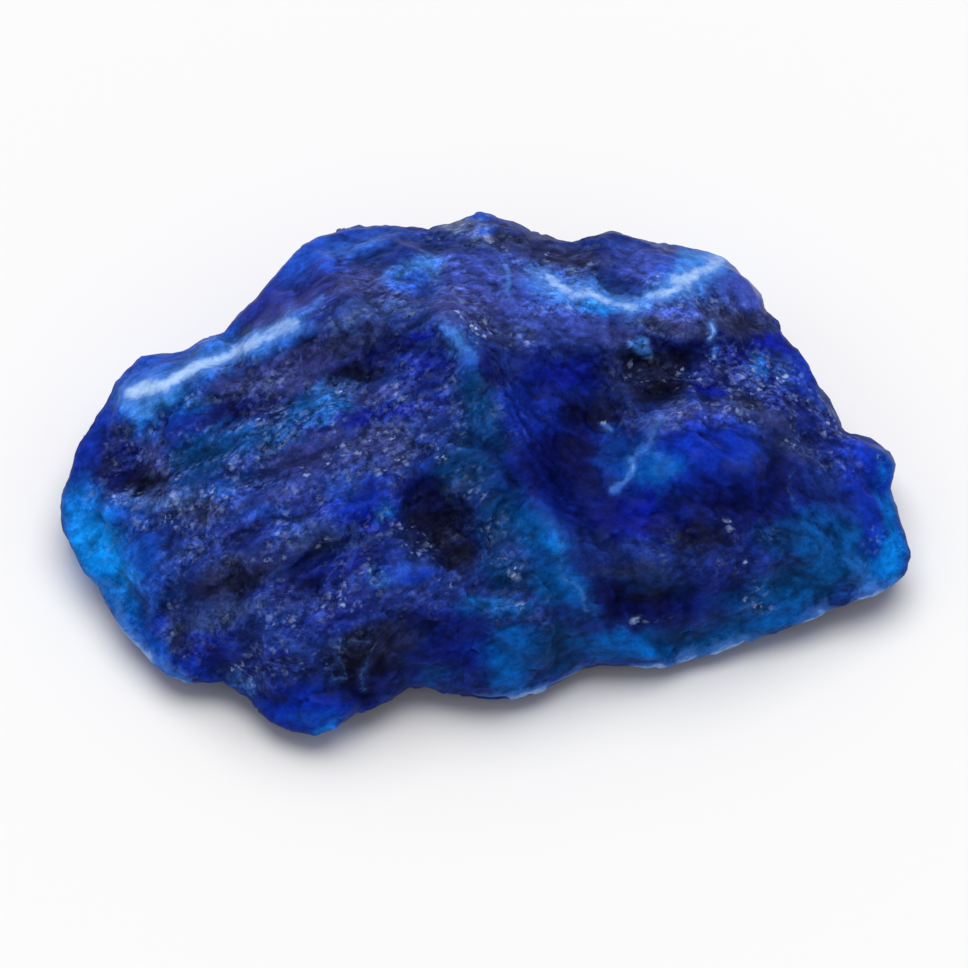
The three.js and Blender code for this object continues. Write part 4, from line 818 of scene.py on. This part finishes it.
def add(tree, kind, inputs=(), **settings):
    """Adds a node with its settings and links. The inputs come in the node's own order, or under their
    names or numbers. Each is a value, a hex colour, an output, or a node, which gives its first output."""
    made = tree.nodes.new(kind)
    for name, value in settings.items():
        setattr(made, name, value)
    for socket, value in inputs.items() if isinstance(inputs, dict) else enumerate(inputs):
        value = value.outputs[0] if isinstance(value, bpy.types.Node) else value
        if isinstance(value, bpy.types.NodeSocket):
            tree.links.new(value, made.inputs[socket])
        else:
            made.inputs[socket].default_value = (*linear(value), 1) if isinstance(value, str) else value
    return made


def layered(tree, slope, long, wide):
    """Object coordinates counted in marks of a given length and width in mm, lying along the layers."""
    turn = (Matrix.Rotation(LEAN, 3, "X") @ Matrix.Rotation(slope, 3, "Z")).to_euler("XYZ")
    place = add(tree, "ShaderNodeTexCoord").outputs["Object"]
    sizes = {"Vector": place, "Rotation": turn, "Scale": (long * MM, wide * MM, wide * MM)}
    return add(tree, "ShaderNodeMapping", sizes, vector_type="TEXTURE")


def hauyne():
    """Broken hauyne: it shines softly where it broke in one glassy sweep, and is dull with crumbs and
    dust along its grain elsewhere. The painted blues are made lighter and darker by the grain, with painted
    shade in hollows and painted light on crests, then pale crumbs, milky veins with the painted glow of the
    thin edge, and white grains that are partly painted glints lie over them. A MapRange takes a value, from
    low, from high, to low and to high. In a Mix, 0 is the factor, 2 and 3 are its numbers, and 6 and 7 are
    its colours."""
    material = bpy.data.materials.new("hauyne_broken_and_glassy")
    material.use_nodes = True
    tree = material.node_tree
    tree.nodes.clear()
    field = {name: add(tree, "ShaderNodeAttribute", attribute_name=name).outputs["Fac"] for name in fields}
    first, second = (add(tree, "ShaderNodeAttribute", attribute_name=name) for name in blues)

    # noise along the layers: marks' length and width in mm, detail, roughness
    noise = {}
    for name, slope, long, wide, detail, roughness in (
        ("fleck", LAYERS_LEFT, 0.7, 0.5, 6.0, 0.7),
        ("crumb", LAYERS_LEFT, 0.36, 0.28, 5.0, 0.75),
        ("left streak", LAYERS_LEFT, 0.8, 0.5, 6.0, 0.74),
        ("right streak", LAYERS_RIGHT, 0.8, 0.5, 6.0, 0.74),
        ("left drift", LAYERS_LEFT, 2.0, 1.1, 3.0, 0.6),
        ("right drift", LAYERS_RIGHT, 2.0, 1.1, 3.0, 0.6),
    ):
        marks = layered(tree, slope, long, wide)
        inputs = {"Vector": marks, "Scale": 1.0, "Detail": detail, "Roughness": roughness}
        noise[name] = add(tree, "ShaderNodeTexNoise", inputs)
    crumb = noise["crumb"]
    right = field["right_half"]
    streak = add(tree, "ShaderNodeMix", {0: right, 2: noise["left streak"], 3: noise["right streak"]})
    drift = add(tree, "ShaderNodeMix", {0: right, 2: noise["left drift"], 3: noise["right drift"]})

    # the borders between the colours break up into flecks
    border = add(tree, "ShaderNodeMapRange", [noise["fleck"], 0.46, 0.54])
    base = add(tree, "ShaderNodeMix", {0: border, 6: first, 7: second}, data_type="RGBA").outputs[2]

    # crumbs of 0.1 to 0.3 mm lie in drifts, where there is dust
    drifted = add(tree, "ShaderNodeMapRange", [drift, 0.42, 0.6, 0.06, 1.0])
    dust = add(tree, "ShaderNodeMath", [drifted, field["dusty"]], operation="MULTIPLY")
    crumb_top = add(tree, "ShaderNodeMapRange", [crumb, 0.46, 0.8])
    crest = add(tree, "ShaderNodeMath", [crumb_top, dust], operation="MULTIPLY")

    # light and dark along the layers, stronger where the stone is grainy, all in the stone's own hue
    on_glassy = add(tree, "ShaderNodeMapRange", [streak, 0.33, 0.68, 0.68, 1.32])
    on_grainy = add(tree, "ShaderNodeMapRange", [streak, 0.33, 0.68, 0.46, 1.5])
    gain = add(tree, "ShaderNodeMix", {0: field["grainy"], 2: on_glassy, 3: on_grainy})
    for steps in (
        [crumb, 0.34, 0.66, 0.7, 1.36],
        [crest, 0.0, 0.7, 0.86, 2.8],
        # painted shade in deep, narrow places and painted light on crests
        [field["hollow_shade_crest_light"], 0.0, 1.0, 1.25, 0.65],
    ):
        step = add(tree, "ShaderNodeMapRange", steps)
        gain = add(tree, "ShaderNodeMath", [gain, step], operation="MULTIPLY")
    base = add(tree, "ShaderNodeVectorMath", {0: base, "Scale": gain}, operation="SCALE")

    # pale crumbs, then milky veins and the painted glow of the thin lower edge, a little frayed at their
    # borders and whitest where they are dense
    fray = add(tree, "ShaderNodeMapRange", [crumb, 0.3, 0.7, -0.18, 0.18])
    milky_and_edge_glow = add(tree, "ShaderNodeMath", [field["veins_and_edge_glow"], fray], operation="ADD")
    for source, low, high, cover, colour in (
        (crest, 0.0, 0.6, 0.34, "6484C0"),
        (milky_and_edge_glow, 0.2, 0.75, 0.75, "4C84DC"),
        (milky_and_edge_glow, 0.65, 1.15, 0.9, "B4D4FC"),
    ):
        share = add(tree, "ShaderNodeMapRange", [source, low, high, 0.0, cover])
        base = add(tree, "ShaderNodeMix", {0: share, 6: base, 7: colour}, data_type="RGBA").outputs[2]

    # white grains of 0.25 and 0.16 mm, which also stand for painted glints of light: dim ones in the dust,
    # and bright ones where the sugar lies
    for size, seed in ((0.25, 0.0), (0.16, 40.0)):
        spot = layered(tree, LAYERS_LEFT, size * 1.2, size)
        spot = add(tree, "ShaderNodeVectorMath", [spot, (seed, seed, seed)], operation="ADD")
        jitter = add(tree, "ShaderNodeTexNoise", {"Vector": spot, "Scale": 1.5, "Detail": 3.0})
        moved = [jitter.outputs["Color"], (1.5, 1.5, 1.5), spot]
        spot = add(tree, "ShaderNodeVectorMath", moved, operation="MULTIPLY_ADD")
        cell = add(tree, "ShaderNodeTexVoronoi", {"Vector": spot, "Scale": 1.0})
        pick = add(tree, "ShaderNodeSeparateColor", [cell.outputs["Color"]]).outputs
        chosen = add(tree, "ShaderNodeMapRange", [pick[1], 0.4, 0.6])
        grains_and_glints = add(tree, "ShaderNodeMath", [field["sugar_and_glints"], chosen], operation="MULTIPLY")
        dim = add(tree, "ShaderNodeMath", [dust, 0.55], operation="MULTIPLY")
        white = add(tree, "ShaderNodeMath", [grains_and_glints, 1.3, dim], operation="MULTIPLY_ADD")
        rare = add(tree, "ShaderNodeMath", [pick[0], 4.5], operation="POWER")
        disc = add(tree, "ShaderNodeMapRange", [cell, 0.6, 0.1])
        for factor in (rare, disc):
            white = add(tree, "ShaderNodeMath", [white, factor], operation="MULTIPLY")
        base = add(tree, "ShaderNodeMix", {0: white, 6: base, 7: "A4BCF4"}, data_type="RGBA").outputs[2]

    # streaks and crumbs stand out a little, and the glassy places stay smooth
    crumb_height = add(tree, "ShaderNodeMath", [crumb, 0.5], operation="MULTIPLY")
    height = add(tree, "ShaderNodeMath", [streak, 0.4, crumb_height], operation="MULTIPLY_ADD")
    strength = add(tree, "ShaderNodeMapRange", [field["grainy"], 0.0, 1.0, 0.04, 0.7])
    bump = add(tree, "ShaderNodeBump", {"Strength": strength, "Distance": 0.1 * MM, "Height": height})
    roughness = add(tree, "ShaderNodeMapRange", [field["grainy"], 0.0, 1.0, 0.22, 0.42])
    surface = add(tree, "ShaderNodeBsdfPrincipled", {
        "Base Color": base, "Roughness": roughness, "Normal": bump, "IOR": 1.5, "Specular IOR Level": 0.03})
    add(tree, "ShaderNodeOutputMaterial", [surface])
    return material


mesh.materials.append(hauyne())
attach(stone, "root")
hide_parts("hauyne_stone")

# ------------------------------------------------------------
# The floor: a sheet of matt white card that lies under the stone, 6 m wide, so that its edge is never
# seen. It has next to no gloss, so the stone's soft shadow is all that shows on it.

FLOOR_HALF = 3.0
corners = [(-FLOOR_HALF, -FLOOR_HALF, 0), (FLOOR_HALF, -FLOOR_HALF, 0),
           (FLOOR_HALF, FLOOR_HALF, 0), (-FLOOR_HALF, FLOOR_HALF, 0)]
floor_mesh = bpy.data.meshes.new("floor")
floor_mesh.from_pydata(corners, [], [(0, 1, 2, 3)])
floor = bpy.data.objects.new("floor", floor_mesh)
bpy.context.scene.collection.objects.link(floor)
card = bpy.data.materials.new("matt_white_card")
card.use_nodes = True
card.node_tree.nodes.clear()
card_surface = add(card.node_tree, "ShaderNodeBsdfPrincipled", {
    "Base Color": "F2F2F2", "Roughness": 0.9, "Specular IOR Level": 0.1})
add(card.node_tree, "ShaderNodeOutputMaterial", [card_surface])
floor_mesh.materials.append(card)

# ------------------------------------------------------------
# The light: a broad soft light from above, a little behind and to the right, and a pale room, which
# lights the stone from all sides and doesn't mirror in it.

SUN_STRENGTH, SUN_SPREAD = 2.3, math.radians(60)
SUN_TURN, SUN_HEIGHT = math.radians(8), math.radians(76)  # turned to the right from behind, and up
PALE_ROOM, ROOM_STRENGTH = (0.99, 0.98, 0.98, 1), 0.4
scene = bpy.context.scene
scene.view_settings.view_transform = "Standard"
world = bpy.data.worlds.new("pale_room")
world.use_nodes = True
world.node_tree.nodes["Background"].inputs["Color"].default_value = PALE_ROOM
world.node_tree.nodes["Background"].inputs["Strength"].default_value = ROOM_STRENGTH
world.cycles_visibility.glossy = False
scene.world = world
lamp = bpy.data.lights.new("overhead_light", "SUN")
lamp.energy = SUN_STRENGTH
lamp.angle = SUN_SPREAD
sun = bpy.data.objects.new("overhead_light", lamp)
scene.collection.objects.link(sun)
level = math.cos(SUN_HEIGHT)
to_sun = Vector((math.sin(SUN_TURN) * level, math.cos(SUN_TURN) * level, math.sin(SUN_HEIGHT)))
sun.rotation_euler = to_sun.to_track_quat("Z", "Y").to_euler()

# ------------------------------------------------------------
# The camera looks down at the stone from the front, square to the leaning frame. Its lens is so long
# that the view is nearly parallel.

LENS, SENSOR_WIDTH = 800, 36
VIEW_WIDTH = 31.8421  # across the view at the stone's middle
MEAN_OUT = 3.6  # the stone's middle, out of the leaning plane
NEAREST_SEEN = 0.01  # in metres
camera_data = bpy.data.cameras.new("camera")
camera_data.lens = LENS
camera_data.sensor_width = SENSOR_WIDTH
camera_data.clip_start = NEAREST_SEEN
camera = bpy.data.objects.new("camera", camera_data)
scene.collection.objects.link(camera)
back = Vector((0, -math.sin(LEAN), math.cos(LEAN)))
distance = LENS / SENSOR_WIDTH * VIEW_WIDTH + MEAN_OUT
camera.location = (Vector(to_middle) + back * distance) * MM
camera.rotation_euler = back.to_track_quat("Z", "Y").to_euler()
scene.camera = camera
